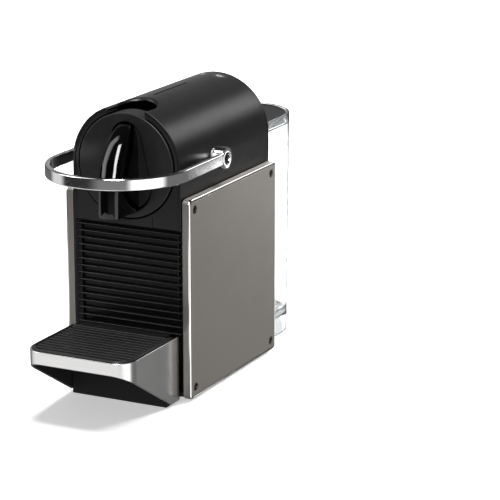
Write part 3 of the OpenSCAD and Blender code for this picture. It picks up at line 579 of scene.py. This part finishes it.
def part_copy(node, name, width, n=2, angle=35):
    """The part's own mesh with its edges broken, for pieces whose shape is right."""
    source = frame["nodes"][node].data
    mesh = bpy.data.meshes.new(name)
    bm = bmesh.new()
    spots = {}
    index = []
    for v in source.vertices:
        key = tuple(round(c, 7) for c in v.co)
        if key not in spots:
            spots[key] = bm.verts.new(v.co)
        index.append(spots[key])
    for p in source.polygons:
        corners = [index[i] for i in p.vertices]
        if len(set(corners)) == len(corners) and not bm.faces.get(corners):
            bm.faces.new(corners)
    bmesh.ops.recalc_face_normals(bm, faces=bm.faces)
    bmesh.ops.dissolve_limit(bm, angle_limit=math.radians(0.6), verts=bm.verts, edges=bm.edges)
    bm.to_mesh(mesh)
    bm.free()
    thing = bpy.data.objects.new(name, mesh)
    bpy.context.scene.collection.objects.link(thing)
    if width:
        break_edges(thing, width, angle, n)
    return smooth(thing)


# ---- the upper casing ----

def arch_path(n=96):
    """Points and outward directions over the casing, from its lower left edge to its lower right."""
    path = [(Vector((-casing_r, 0, z)), Vector((-1, 0, 0))) for z in (skirt_z, skirt_z + 16, skirt_z + 32)]
    for k in range(n + 1):
        a = math.pi - math.pi * k / n
        out = Vector((math.cos(a), 0, math.sin(a)))
        path.append((Vector((0, 0, axis_z)) + casing_r * out, out))
    return path + [(Vector((casing_r, 0, z)), Vector((1, 0, 0)))
                   for z in (skirt_z + 32, skirt_z + 16, skirt_z)]


def shell(name, edge):
    section = soft_rect(-wall, 0, front_y, rear_y, edge)
    return make(name, loft([[p + out * s + Vector((0, t, 0)) for s, t in section] for p, out in arch_path()]))


def slot_outline():
    return arc(0, slot_end - slot_hw, slot_hw, 0, 180, 32) + [(-slot_hw, front_y - 5), (slot_hw, front_y - 5)]


def slot_cutter(soft=2.4, n=6):
    """A plug for the slot that flares out to a round edge where it meets the casing's surface."""
    ways = [(math.cos(math.pi * k / 32), math.sin(math.pi * k / 32)) for k in range(33)] + [(-1, 0), (1, 0)]

    def ring(out, depth, rise=0.0):
        spots = [(x + out * a, y + out * b) for (x, y), (a, b) in zip(slot_outline(), ways)]
        return [Vector((x, y, axis_z + math.sqrt(casing_r ** 2 - x * x) - depth + rise)) for x, y in spots]

    turns = [math.radians(90 * k / n) for k in range(n + 1)]
    rings = [[level(p, axis_z + 5) for p in slot_outline()]]
    rings += [ring(soft * (1 - math.cos(a)), soft * (1 - math.sin(a)) - 0.02) for a in turns]
    rings.append(ring(soft + 0.6, -6))
    return make("tool", loft(rings))


def control_outline(gap):
    y1 = rear_y + 5
    return [(control_hw + gap, control_y - gap), (control_hw + gap, y1), (-control_hw - gap, y1),
            (-control_hw - gap, control_y - gap)]


def button_rod(r, x):
    tilt = Matrix.Rotation(math.copysign(button_tilt, x), 4, "Y")
    n = 48
    rings = [[Vector((0, button_y, axis_z)) + tilt @ Vector((p[0], p[1], h))
              for p in arc(0, 0, r, 0, 360 - 360 / n, n - 1)] for h in (inner_r - 2.6, casing_r + 5)]
    return make("tool", loft(rings))


casing = shell("casing", 0.55)
slit_low, slit_high = slot_end + 13, rear_y - 36.9 - 15
carve(casing, slot_cutter(), prism(control_outline(0.15), axis_z + 5, top_z + 5),
      prism(arc(0, slit_high - 0.8, 0.8, 0, 180, 8) + arc(0, slit_low + 0.8, 0.8, 180, 360, 8), top_z - 1.4,
            top_z + 5),
      rod(inner_r - 5, casing_r + 5, pivot_y, pivot_z, bore_r),
      rod(-casing_r - 5, -inner_r + 5, pivot_y, pivot_z, bore_r))
break_edges(casing, 0.45)
fit(true_round(smooth(casing)), ["barrel_casing"], satin_black)

control = shell("control_top", 0.2)
carve(control, prism(control_outline(0), axis_z + 5, top_z + 5), way="INTERSECT")
carve(control, button_rod(button_r + 0.15, button_x), button_rod(button_r + 0.15, -button_x))
break_edges(control, 0.2)
fit(true_round(smooth(control)), ["control_panel"], satin_black)

for node, x, mark in (("large_cup_button", button_x, large_mark),
                      ("small_cup_button", -button_x, small_mark)):
    button = shell(node + "_cap", 0.2)
    carve(button, button_rod(button_r, x), way="INTERSECT")
    break_edges(button, 0.25)
    fit(smooth(button), [node], mark)


def by_angle():
    """Directions round the casing's axis that hit the fascia's lower corners."""
    corner = math.atan2(axis_z - skirt_z, inner_r - 0.15)
    angles = [2 * math.pi * k / 144 for k in range(144)]
    for a in (2 * math.pi - corner, math.pi + corner):
        near = min(range(144), key=lambda k: abs(angles[k] - a))
        angles[near] = a
    return angles


def arch_ring(inset):
    r, low = inner_r - 0.15 - inset, skirt_z + inset
    ring = []
    for a in by_angle():
        c, s = math.cos(a), math.sin(a)
        k = r if s >= 0 else min(r / max(abs(c), 1e-9), (axis_z - low) / abs(s))
        ring.append((k * c, axis_z + k * s))
    return ring


def round_ring(r):
    return [(r * math.cos(a), axis_z + r * math.sin(a)) for a in by_angle()]


y = plate_y + 0.8
rings = [(arch_ring(0), y + 2.4), (arch_ring(0), y + 0.3), (arch_ring(0.1), y + 0.08), (arch_ring(0.35), y),
         (round_ring(ring_r + 0.5), y), (round_ring(ring_r + 0.15), y + 0.12), (round_ring(ring_r), y + 0.5),
         (round_ring(ring_r), y + 18), (round_ring(ring_r + 1.6), y + 18),
         (round_ring(ring_r + 1.6), y + 2.4)]
fascia = make("fascia", loft(rings, front, loop=True))
chute_hw, chute_y = 20.4, front_y + 8.4     # where used capsules fall through
seam_x, seam_w = 22.65, 0.5                 # the short seam under the head
carve(fascia, prism(slot_outline(), axis_z, top_z + 5),
      prism([(chute_hw, chute_y), (chute_hw, slot_end), (-chute_hw, slot_end), (-chute_hw, chute_y)],
            skirt_z - 5, axis_z - 20),
      prism([(seam_x + seam_w, y - 1), (seam_x + seam_w, y + 0.6), (seam_x, y + 0.6), (seam_x, y - 1)],
            skirt_z - 1, skirt_z + 9))
break_edges(fascia, 0.15, 50)
fit(smooth(fascia), ["front_fascia"], fascia_black)

fit(part_copy("back_cover", "back_cover_piece", 0.5), ["back_cover"], satin_black)


# ---- side panels and their screws ----

def panel_outline(inset):
    return soft_rect(side_low.y + inset, side_high.y - inset, side_low.z + inset, side_high.z - inset,
                     max(panel_corner - inset, 0.4), 8)


def side_panel(name, sign):
    """A slab with a rounded, polished bead and a groove round its face."""
    steps = [(1.0, slab_x), (0.3, slab_x + 0.3), (0, slab_x + 1.0), (0, outer_x - 1.6)]
    steps += [(bead_r * (1 - math.cos(math.radians(a))),
               outer_x - bead_r * (1 - math.sin(math.radians(a)))) for a in range(15, 91, 15)]
    steps += [(1.68, outer_x - 0.15), (1.72, outer_x - 0.6), (2.15, outer_x - 0.6), (2.2, outer_x - 0.25),
              (2.4, outer_x - 0.08), (2.9, outer_x - 0.08)]
    marks = [0, 0, 0] + [1] * 8 + [2] * 2 + [0] * 4
    slab = make(name, loft([(panel_outline(t), sign * x) for t, x in steps], side, mark=marks))
    for y, z in screw_spots:
        carve(slab, rod(*sorted((sign * (outer_x - head_sink), sign * (outer_x + 2))), y, z, counterbore, 40))
    m = slab.modifiers.new("edges", "BEVEL")
    m.limit_method, m.angle_limit, m.width, m.segments = "ANGLE", math.radians(60), 0.22 * MM, 2
    settle(slab)
    node = "right_side_panel" if sign > 0 else "left_side_panel"
    return fit(smooth(slab), [node], bronze, bead_metal, dull_black)


side_panel("side_panel_right", 1)
side_panel("side_panel_left", -1)


def socket_head(x, y, z, sign, r, height, hex_r, depth):
    """A cap screw's head with a six-sided socket, seen along X."""
    n = 48
    round_n = [2 * math.pi * (k + 0.5) / n for k in range(n)]

    def circle(q):
        return [(y + q * math.cos(a), z + q * math.sin(a)) for a in round_n]

    def six(q):
        ring = []
        for a in round_n:
            k = q * math.cos(math.pi / 6) / math.cos((a % (math.pi / 3)) - math.pi / 6)
            ring.append((y + k * math.cos(a), z + k * math.sin(a)))
        return ring

    rings = [(circle(r), 0), (circle(r), height - 0.45), (circle(r - 0.13), height - 0.13),
             (circle(r - 0.45), height), (circle(hex_r + 0.3), height),
             (six(hex_r + 0.08), height - 0.1), (six(hex_r), height - 0.3), (six(hex_r), height - depth)]
    return loft([(ring, x + sign * h) for ring, h in rings], side)


spots = [(s, y, z) for s in (1, -1) for y, z in screw_spots]
heads = [socket_head(s * (outer_x - head_sink), y, z, s, 3.2, 3.0, 1.45, 1.6) for s, y, z in spots]
shanks = [loft([(arc(y, z, 1.5, 0, 345, 23), s * x) for x in (inner_r + 0.2, outer_x - head_sink)], side)
          for s, y, z in spots]
fit(smooth(make("side_screws", *heads, *shanks)), ["panel_screws"], black_screw)


# ---- lever ----

def lever():
    mid = lever_x - lever_t / 2
    z0, z1 = pivot_z - lever_h / 2, pivot_z + lever_h / 2
    section = soft_rect(-lever_t / 2, lever_t / 2, z0, z1, 1.1)
    crown = 0.18                        # the outer face is slightly round
    section = [(s - crown * ((z - pivot_z) / (lever_h / 2)) ** 2 if s > 1 else s, z) for s, z in section]
    arm_end = pivot_y - 7.0
    path = [(Vector((mid, y, 0)), Vector((1, 0, 0)))
            for y in (arm_end, arm_end - 10, (arm_end + bow_y) / 2, bow_y + 8)]
    for k in range(81):
        a = -math.pi * k / 80
        out = Vector((math.cos(a), math.sin(a), 0))
        path.append((Vector((0, bow_y, 0)) + mid * out, out))
    path += [(Vector((-mid, y, 0)), Vector((-1, 0, 0)))
             for y in (bow_y + 8, (arm_end + bow_y) / 2, arm_end - 10, arm_end)]
    bar = make("lever", loft([[p + out * s + Vector((0, 0, z)) for s, z in section] for p, out in path]))
    for sign in (1, -1):
        e = 0.7
        profile = [(ring_od - e, boss_x), (ring_od - 0.2, boss_x + 0.2), (ring_od, boss_x + e),
                   (ring_od, lever_x - 1.0), (ring_od - 0.3, lever_x - 0.3), (ring_od - 1.0, lever_x),
                   (5.0, lever_x), (4.5, lever_x - 0.2), (4.35, lever_x - 0.6), (4.35, lever_x - 3),
                   (2.1, lever_x - 3), (2.1, boss_x)]
        boss = make("tool", turned(profile, lambda u, v, x: Vector((sign * x, pivot_y + u, pivot_z + v)), 64))
        carve(bar, boss, way="UNION")
    return fit(smooth(bar, 30), ["lever_band"], chrome)


lever()
# the cap screws use the painted-shade black
heads = [socket_head(s * (lever_x - 3), pivot_y, pivot_z, s, 4.2, 2.1, 2.4, 1.3) for s in (1, -1)]
shanks = [loft([(arc(pivot_y, pivot_z, 2, 0, 345, 23), s * x) for x in (casing_r - 5.35, lever_x - 3)], side)
          for s in (1, -1)]
fit(smooth(make("lever_cap_screws", *heads, *shanks)), ["lever_screws"], cap_screw_shade)


# ---- brew head ----

def midway(a, b, n):
    """n points evenly between a and b."""
    return [(a[0] + (b[0] - a[0]) * k / (n + 1), a[1] + (b[1] - a[1]) * k / (n + 1)) for k in range(1, n + 1)]


def egg(inset):
    """The recess in the head: a wide round foot and a narrower round top."""
    top_r, top_up, foot_r, foot_down = 13.0, 22.4, 22.5, 15.2
    lean = math.degrees(math.asin((foot_r - top_r) / (foot_down + top_up)))
    head = arc(0, axis_z + top_up, top_r - inset, lean, 180 - lean, 40)
    foot = arc(0, axis_z - foot_down, foot_r - inset, 180 - lean, 360 + lean, 60)
    return head + midway(head[-1], foot[0], 16) + foot + midway(foot[-1], head[0], 16)


def rim_like_egg(r):
    ring = []
    for x, z in egg(0):
        a = math.atan2(z - axis_z, x)
        ring.append((r * math.cos(a), axis_z + r * math.sin(a)))
    return ring


y = head_y
rings = [(rim_like_egg(head_r - 2), head_back), (rim_like_egg(head_r), head_back),
         (rim_like_egg(head_r), y + 0.8), (rim_like_egg(head_r - 0.1), y + 0.35),
         (rim_like_egg(head_r - 0.4), y + 0.08), (rim_like_egg(head_r - 0.9), y)]
rings += [(egg(t), y + d) for t, d in ((-0.9, 0), (-0.3, 0.06), (0.3, 0.35), (0.9, 1.0), (1.4, 1.9),
                                       (1.9, 3.0), (2.5, 4.1), (3.4, 5.1), (4.8, 5.75), (6.8, 6.0),
                                       (9.0, 6.0))]
# the recess rings (mark 1) take the painted-shade black
marks = [0] * 8 + [1] * (len(rings) - 9)
fit(smooth(make("head_disc", loft(rings, front, mark=marks))), ["head_face"], head_black, recess_painted_shade)
fit(part_copy("head_shroud", "head_barrel", 0.3), ["head_shroud"], head_black)


def between(stops, z):
    """Smooth value of a column of stops at height z."""
    for (z0, v0), (z1, v1) in zip(stops, stops[1:]):
        if z <= z1:
            t = max(0.0, (z - z0) / (z1 - z0))
            before = stops[max(stops.index((z0, v0)) - 1, 0)]
            after = stops[min(stops.index((z1, v1)) + 1, len(stops) - 1)]
            m0 = (v1 - before[1]) / max(z1 - before[0], 1e-6) * (z1 - z0)
            m1 = (after[1] - v0) / max(after[0] - z0, 1e-6) * (z1 - z0)
            leave, reach = 2 * t ** 3 - 3 * t * t + 1, 3 * t * t - 2 * t ** 3
            return leave * v0 + (t ** 3 - 2 * t * t + t) * m0 + reach * v1 + (t ** 3 - t * t) * m1
    return stops[-1][1]


def spout():
    """A column with a round nose that leans back and dies into the head's recess."""
    nose = spout_tip + spout_nose
    lean = [(spout_z, nose), (axis_z - 22, nose), (axis_z - 9, nose + 1.2), (axis_z + 0.6, nose + 4.4),
            (axis_z + 8.8, nose + 6.8), (axis_z + 20.6, nose + 13.4),
            (axis_z + 27.2, nose + 19.6), (axis_z + 31, nose + 24.8), (axis_z + 34, nose + 29.6)]
    width = [(spout_z, spout_hw), (axis_z + 9, spout_hw), (axis_z + 20.6, spout_hw - 0.8),
             (axis_z + 27.2, spout_hw - 1.8), (axis_z + 31, spout_hw - 3), (axis_z + 34, spout_hw - 4.6)]

    def slice_at(z, inset=0.0):
        y0, hw = between(lean, z), between(width, z) - inset
        back = pocket_y + 0.15
        nose_arc = [(x, y0 + (y - y0) * spout_nose / spout_hw) for x, y in arc(0, y0, hw, 180, 360, 32)]
        wall_n = 6
        right = [(hw, y0 + (back - y0) * k / wall_n) for k in range(1, wall_n + 1)]
        left = [(-hw, back + (y0 - back) * k / wall_n) for k in range(0, wall_n)]
        return [level(p, z) for p in nose_arc + right + left]

    def inside(z, r):
        flat = slice_at(spout_z, 0)
        c = Vector((0, outlet_y, 0))
        ring = []
        for p in flat:
            d = Vector((p.x, p.y, 0)) - c
            d.normalize()
            ring.append(Vector((d.x * r, outlet_y + d.y * r, z)))
        return ring

    rings = [inside(spout_z + 22, spout_hw - 2.7), inside(spout_z + 0.4, spout_hw - 2.6),
             inside(spout_z + 0.1, spout_hw - 2.3), inside(spout_z, spout_hw - 1.9)]
    rings += [slice_at(spout_z, 0.9), slice_at(spout_z + 0.25, 0.3), slice_at(spout_z + 0.9, 0)]
    top = axis_z + 34
    z = spout_z + 6
    while z < axis_z - 24:
        rings.append(slice_at(z))
        z += 6
    steps = 26
    for k in range(steps + 1):
        rings.append(slice_at(axis_z - 22 + (top - axis_z + 22) * k / steps))
    return fit(smooth(make("spout", loft(rings)), 50, weighted=False), ["spout_hood"], piano_black)


spout()


# ---- capsule drawer ----

def louvres():
    """The drawer's front: thin blades with rounded lips over a backing. Blades and backing take a black
    darkened as painted shade between the blades; the upward faces of the front lips take a lighter black as a
    painted highlight.
    """
    hw, y0 = grille_high.x, grille_low.y
    backing = grille_high.y - 1.6
    pitch, top = 5.76, grille_high.z - 1.9
    shapes = [loft(eased(lambda t: [(inner_r - 0.4 - t, grille_high.z - t),
                                    (-inner_r + 0.4 + t, grille_high.z - t),
                                    (-inner_r + 0.4 + t, grille_low.z + t),
                                    (inner_r - 0.4 - t, grille_low.z + t)],
                          backing, grille_high.y, 0.25), front)]
    for k in range(15):
        z = top - pitch * k
        lip = [(y0 + 0.55, z - 1.3), (y0 + 0.2, z - 1.15), (y0, z - 0.75), (y0 + 0.08, z - 0.35),
               (y0 + 0.4, z - 0.06), (y0 + 0.9, z),
               (backing + 0.2, z - 0.3), (backing + 0.2, z - 1.5), (y0 + 1.6, z - 1.32)]
        shapes.append(loft([([(y, zz) for y, zz in lip], x) for x in (-hw, hw)], side))
    for s in (1, -1):
        rail = soft_rect(*sorted((s * (hw - 3.4), s * (hw - 2.2))), top - 15 * pitch, top, 0.3, 2)
        shapes.append(loft(eased(lambda t: rail, y0 + 1.2, backing + 0.2, 0.2), front))
    panel = make("louvred_front", *shapes)
    panel.data.materials.append(None)
    # painted highlight: the upward faces of the lips at the front get the lighter lip finish, standing in for
    # the light they catch
    for face in panel.data.polygons:
        if face.center.y / MM < y0 + 0.8 and face.normal.z > 0.1:
            face.material_index = 1
    return fit(smooth(panel, 50), ["container_grille"], louvre_painted_shade, lip_painted_highlight)


louvres()
fit(part_copy("capsule_container", "capsule_bin", 0.4), ["capsule_container"], dull_black)
fit(part_copy("drip_base", "drip_foot", 0.5), ["drip_base"], dull_black)


# ---- cup support ----

def low_edge(y, up=0.0):
    return max(support_low, support_z - support_lip - slope * (y - support_y)) + up


def support_path(n=16):
    """Points and outward directions round the support's outside, from its right rear to its left rear."""
    run = support_y + (support_z - support_lip - support_low) / slope
    ys = [support_rear, support_rear - 4, run + 0.4, run - 0.4, run - 10, run - 25, support_y + support_r + 6]
    path = [(Vector((support_hw, y, 0)), Vector((1, 0, 0))) for y in ys]
    cx, cy = support_hw - support_r, support_y + support_r
    for k in range(n + 1):
        a = -math.pi / 2 * k / n
        out = Vector((math.cos(a), math.sin(a), 0))
        path.append((Vector((cx, cy, 0)) + support_r * out, out))
    path += [(Vector((x, support_y, 0)), Vector((0, -1, 0))) for x in (20, 0, -20)]
    for k in range(n + 1):
        a = -math.pi / 2 - math.pi / 2 * k / n
        out = Vector((math.cos(a), math.sin(a), 0))
        path.append((Vector((-cx, cy, 0)) + support_r * out, out))
    return path + [(Vector((-support_hw, y, 0)), Vector((-1, 0, 0))) for y in reversed(ys)]


def support_band():
    rings = []
    for p, out in support_path():
        section = soft_rect(-band_t, 0, low_edge(p.y), support_z, 0.5)
        rings.append([p + out * s + Vector((0, 0, z)) for s, z in section])
    return fit(smooth(make("support_band", loft(rings))), ["cup_support_band"], steel_band)


support_band()
fit(part_copy("support_liner", "support_inner", 0.35), ["support_liner"], dull_black)


def drip_grid():
    t0, rim = band_t + 0.25, 2.2
    top, low = grid_high.z, grid_low.z
    rib_top = top - 0.7

    def plan(t):
        hw, y0 = support_hw - t0 - t, support_y + t0 + t
        r = support_r - t0 - t
        q = 0.6
        y1 = notch_y - t
        return (arc(hw - q, y1 - q, q, 0, 90, 4) + arc(-hw + q, y1 - q, q, 90, 180, 4)
                + arc(-hw + r, y0 + r, r, 180, 270, 12) + arc(hw - r, y0 + r, r, 270, 360, 12))

    rings = [(plan(0), low), (plan(0), top - 0.6), (plan(0.18), top - 0.18), (plan(0.6), top),
             (plan(rim - 0.6), top), (plan(rim - 0.18), top - 0.18), (plan(rim), top - 0.6), (plan(rim), low)]
    shapes = [loft(rings, level, loop=True)]
    first = support_y + band_t + 3
    rib_pitch, rib_w = 5.75, 2.5
    count = int((notch_y - first) // rib_pitch)
    r = support_r - t0 - rim

    def half_width(y):
        hw, y0 = support_hw - t0 - rim, support_y + t0 + rim
        return hw - r + math.sqrt(max(r * r - (r - min(y - y0, r)) ** 2, 0)) if y - y0 < r else hw

    for k in range(count + 1):
        y0 = first + rib_pitch * k
        y1 = min(y0 + rib_w, notch_y - rim + 0.4)
        hw = half_width(max(y0, support_y + t0 + rim)) + 0.5
        shapes.append(loft([(soft_rect(y0, y1, low + 1.6, rib_top, 0.55, 3), x) for x in (-hw, hw)], side))
    for x in (-22, 22):
        bar = soft_rect(x - 1, x + 1, low, low + 2.2, 0.2, 2)
        shapes.append(loft([(bar, y) for y in (support_y + t0 + 1, notch_y - 1)], front))
    tab_x = 38.8
    shapes.append(loft(eased(lambda t: soft_rect(-tab_x + t, tab_x - t, notch_y - 1 + t, grid_high.y - t,
                                 0.5, 3), low, top, 0.5), level))
    return fit(smooth(make("drip_grille", *shapes), 45), ["drip_grid"], grid_black)


drip_grid()


# ---- water tank and its lid ----

def tank_plan(inset):
    hw = tank_r - inset
    q = max(tank_corner - inset, 0.6)
    y0 = tank_front + inset
    return (arc(0, tank_cy, hw, 0, 180, 72) + arc(-hw + q, y0 + q, q, 180, 270, 8)
            + arc(hw - q, y0 + q, q, 270, 360, 8))


def taper(z):
    return tank_taper * (tank_top - z) / tank_top


def tank_ring(inset, z):
    return tank_plan(inset + taper(z)), z


def water_tank():
    w, ledge, floor = tank_wall, tank_top - 6.7, tank_floor + 2.2
    rings = [tank_ring(w, tank_floor), tank_ring(w, tank_bottom + 0.3), tank_ring(w - 0.5, tank_bottom),
             tank_ring(0.5, tank_bottom), tank_ring(0, tank_bottom + 0.5)]
    rings += [tank_ring(0, z) for z in (14, 17.6)]
    rings += [tank_ring(0.35, tank_floor + 0.1), tank_ring(0, tank_floor + 0.9)]
    rings += [tank_ring(0, 20 + (tank_top - 21) * k / 8) for k in range(1, 9)]
    rings += [tank_ring(0.12, tank_top - 0.3), tank_ring(0.4, tank_top), tank_ring(w - 0.5, tank_top),
              tank_ring(w - 0.1, tank_top - 0.3), tank_ring(w, tank_top - 0.8),
              tank_ring(w, ledge + 0.2), tank_ring(w + 0.2, ledge), tank_ring(w + 1.2, ledge),
              tank_ring(w + 1.4, ledge - 0.3), tank_ring(w + 1.3, ledge - 1.2), tank_ring(w, ledge - 2.2)]
    rings += [tank_ring(w, floor + 6 + (ledge - floor - 12) * k / 6) for k in range(6, -1, -1)]
    rings += [tank_ring(w + 0.4, floor + 2.4), tank_ring(w + 1.4, floor + 0.8), tank_ring(w + 3, floor)]
    tank = make("tank_shell", loft(rings, level))
    neck = box_mm("dock_seal")[1].z + 0.1
    n = 48
    circle = lambda r: arc(0, tank_cy, r, 0, 360 - 360 / n, n - 1)
    carve(tank, make("tool", loft([(circle(8), neck), (circle(8), tank_floor + 0.5)], level)), way="UNION")
    carve(tank, make("tool", loft([(circle(5), neck - 1), (circle(5), floor + 2)], level)))
    dock_hw = 22.6
    notch = [(-dock_hw, tank_front - 2), (dock_hw, tank_front - 2), (dock_hw, tank_front + tank_corner),
             (-dock_hw, tank_front + tank_corner)]
    carve(tank, prism(notch, tank_bottom - 2, box_mm("tank_dock")[1].z - 2.8))
    return fit(smooth(tank, 40, weighted=False), ["water_tank"], tank_clear)


water_tank()


def tank_lid():
    t = tank_wall + 0.4

    def plan(inset):
        return tank_plan(t + inset)

    low, top = lid_low.z, lid_high.z
    rings = [(plan(0.1), low), (plan(0), low + 0.4), (plan(0), top - 1.6), (plan(0.15), top - 1.0),
             (plan(0.5), top - 0.3), (plan(1.0), top - 0.02), (plan(1.6), top),
             (plan(3.2), top - 0.05), (plan(4.2), top - 0.45), (plan(5.2), top - 0.55)]
    under = [(plan(8), top - 1.8), (plan(2.4), top - 1.8), (plan(2.0), top - 2.2), (plan(1.9), low)]
    points, faces, marks = loft(under + rings, level)
    return fit(smooth(make("lid", (points, faces, marks))), ["tank_lid"], lid_grain)


tank_lid()


# ---- finishes for the nodes that keep the part's own mesh ----

kept = {
    inner_black: ["base_plate", "left_frame", "right_frame", "bulkhead", "mid_deck"],
    dull_black: ["tank_dock", "outlet_nozzle"],
    foot_rubber: ["rubber_feet", "cord_gland", "dock_seal", "pump_mounts"],
    board_green: ["switch_board", "control_board"],
    glass_filled: ["brew_cage", "extraction_plate", "head_side_plates", "valve_cage"],
    stamped_steel: ["needle_plate", "crank_arms"],
    red_silicone: ["cage_seal"],
    cast_metal: ["thermoblock"],
    pump_plastic: ["pump"],
    pale_plastic: ["flow_meter", "tank_filter", "valve_poppet"],
    pale_silicone: ["inlet_hose", "suction_hose"],
    sleeve_braid: ["pressure_hose"],
    acetal: ["pivot_bushes"],
    turned_steel: ["pivot_shafts", "hinge_pins"],
    wire_steel: ["valve_spring"],
}
for finish, nodes in kept.items():
    for node in nodes:
        mesh = frame["nodes"][node].data
        mesh.materials.clear()
        mesh.materials.append(finish)


# ---- floor, light and camera ----

def floor_finish():
    f = Finish("pale_floor")
    cloud = f.noise(300, 3)
    tint = f.mix(cloud, (0.90, 0.90, 0.90), (0.93, 0.93, 0.93))
    x, y = f.axis("X"), f.axis("Y")
    far = f.spread((x * x + y * y) ** 0.5, 500, 2500)
    glow = f.mix(far, (0.5, 0.5, 0.5), (1, 1, 1))
    return f.surface(base_color=tint, roughness=0.6 + cloud * 0.05, emission_color=glow,
                     emission_strength=1.0)


floor_mesh = bpy.data.meshes.new("floor")
floor_mesh.from_pydata([(-9, -9, 0), (9, -9, 0), (9, 9, 0), (-9, 9, 0)], [], [(0, 1, 2, 3)])
floor = bpy.data.objects.new("floor", floor_mesh)
bpy.context.scene.collection.objects.link(floor)
floor_mesh.materials.append(floor_finish())

ROOM_LIGHT = 0.16
# bearing from, bearing to, height from, height to, brightness, softness
STUDIO_CARDS = [
    (-168, -140, -8, 8, 0.62, 7),       # rear left
    (-180, -90, 8, 34, 0.26, 8),        # above it, darker
    (-168, -98, -60, -12, 0.20, 5),     # below it, darker
    (-97, -69, -60, 6, 0.80, 5),
    (-12, 42, -60, -6, 0.22, 9),        # low, in front
    (43, 97, -60, -4, 1.7, 6),         # low, at the right
    (100, 178, -60, 2, 0.15, 6),
    (150, 182, 18, 40, 0.14, 8),
    (-76, -46, 0, 68, 3.4, 4),          # grey strip at the left
]


def studio():
    """A white room for the eye; shiny surfaces see dark walls with soft cards on them."""
    world = bpy.data.worlds.new("studio")
    bpy.context.scene.world = world
    world.use_nodes = True
    world.cycles.sampling_method = "NONE"   # so that dull surfaces never see the cards
    f = Finish(tree=world.node_tree)
    look = f.node("ShaderNodeTexCoord", out=0)
    x, y, z = (f.node("ShaderNodeSeparateXYZ", sockets={0: look}, out=k) for k in range(3))
    bearing = f.node("ShaderNodeMath", {"operation": "ARCTAN2"}, {0: x, 1: 0 - y}) * (180 / math.pi)
    height = f.node("ShaderNodeMath", {"operation": "ARCSINE"}, {0: z}) * (180 / math.pi)

    def card(left, right, low, high, light, soft=8.0):
        """A soft-edged card between two bearings from the front and two heights, in degrees."""
        across = f.spread(bearing, left - soft, left + soft) * f.spread(bearing, right - soft, right + soft,
            1, 0)
        up = f.spread(height, low - soft, low + soft) * f.spread(height, high - soft, high + soft, 1, 0)
        return across * up * light

    cards = 0.03
    for spot in STUDIO_CARDS:
        cards = card(*spot) + cards
    path = {name: f.node("ShaderNodeLightPath", out=name)
            for name in ("Is Camera Ray", "Is Transmission Ray", "Is Diffuse Ray")}
    plain = path["Is Camera Ray"].higher(path["Is Transmission Ray"])
    light = plain + (1 - plain) * (path["Is Diffuse Ray"] * ROOM_LIGHT + (1 - path["Is Diffuse Ray"]) * cards)
    grey = f.node("ShaderNodeCombineXYZ", sockets={0: light, 1: light, 2: light})
    f.close("ShaderNodeOutputWorld", f.node("ShaderNodeBackground", sockets={"Color": grey, "Strength": 1.0}))


studio()


def softbox(name, place, aim, width, height, power, glossy):
    lamp = bpy.data.lights.new(name, "AREA")
    lamp.shape, lamp.size, lamp.size_y, lamp.energy = "RECTANGLE", width, height, power
    thing = bpy.data.objects.new(name, lamp)
    thing.location = place
    thing.rotation_euler = (Vector(aim) - Vector(place)).to_track_quat("-Z", "Y").to_euler()
    thing.visible_glossy = glossy
    thing.visible_diffuse = not glossy
    thing.visible_transmission = False
    bpy.context.scene.collection.objects.link(thing)


softbox("right", (0.45, 0.40, 0.50), (0.05, 0, 0.09), 0.25, 0.25, 6.0, False)
softbox("overhead", (0, 0.35, 2.0), (0, 0, 0), 1.0, 1.0, 72, False)
softbox("key", (0.71, -2.35, 1.91), (0, -0.03, 0.15), 1.1, 2.6, 186, True)
softbox("casing_glow", (0.485, 1.12, 0.69), (0.037, 0, 0.217), 0.45, 0.35, 1.5, True)


def glow_card(name, corners, brightness):
    """A glowing sheet that only shiny surfaces see."""
    mesh = bpy.data.meshes.new(name)
    mesh.from_pydata(corners, [], [(0, 1, 2, 3)])
    thing = bpy.data.objects.new(name, mesh)
    bpy.context.scene.collection.objects.link(thing)
    f = Finish(name)
    f.close("ShaderNodeOutputMaterial", f.node("ShaderNodeEmission",
                sockets={"Color": (1, 1, 1, 1), "Strength": brightness}))
    mesh.materials.append(f.material)
    for kind in ("camera", "diffuse", "transmission", "shadow"):
        setattr(thing, "visible_" + kind, False)


glow_card("table_card", [(-0.34, -0.55, 0.001), (0.16, -0.55, 0.001), (0.16, -0.20, 0.001),
                         (-0.34, -0.20, 0.001)], 1.1)
glow_card("rear_card", [(0.325, 0.6, -0.035), (0.378, 0.6, -0.035), (0.378, 0.6, 0.03), (0.325, 0.6, 0.03)],
          4.0)
glow_card("tray_card", [(0.41, 0.6, -0.32), (0.56, 0.6, -0.32), (0.56, 0.6, -0.09), (0.41, 0.6, -0.09)], 0.36)
glow_card("tray_shade", [(0.28, 0.6, -0.32), (0.41, 0.6, -0.32), (0.41, 0.6, -0.09), (0.28, 0.6, -0.09)],
          0.04)
floor.visible_diffuse = False
floor.visible_glossy = False

view = bpy.context.scene.view_settings
view.view_transform = "Standard"
view.look = "None"

lens = bpy.data.cameras.new("camera")
camera = bpy.data.objects.new("camera", lens)
bpy.context.scene.collection.objects.link(camera)
bpy.context.scene.camera = camera
camera.location = (0.834686, -1.550519, 0.580681)
camera.rotation_euler = (math.radians(90 - 15.272), 0, math.radians(26.296))
lens.lens, lens.sensor_width = 160.9, 36.0
lens.clip_start, lens.clip_end = 0.1, 50
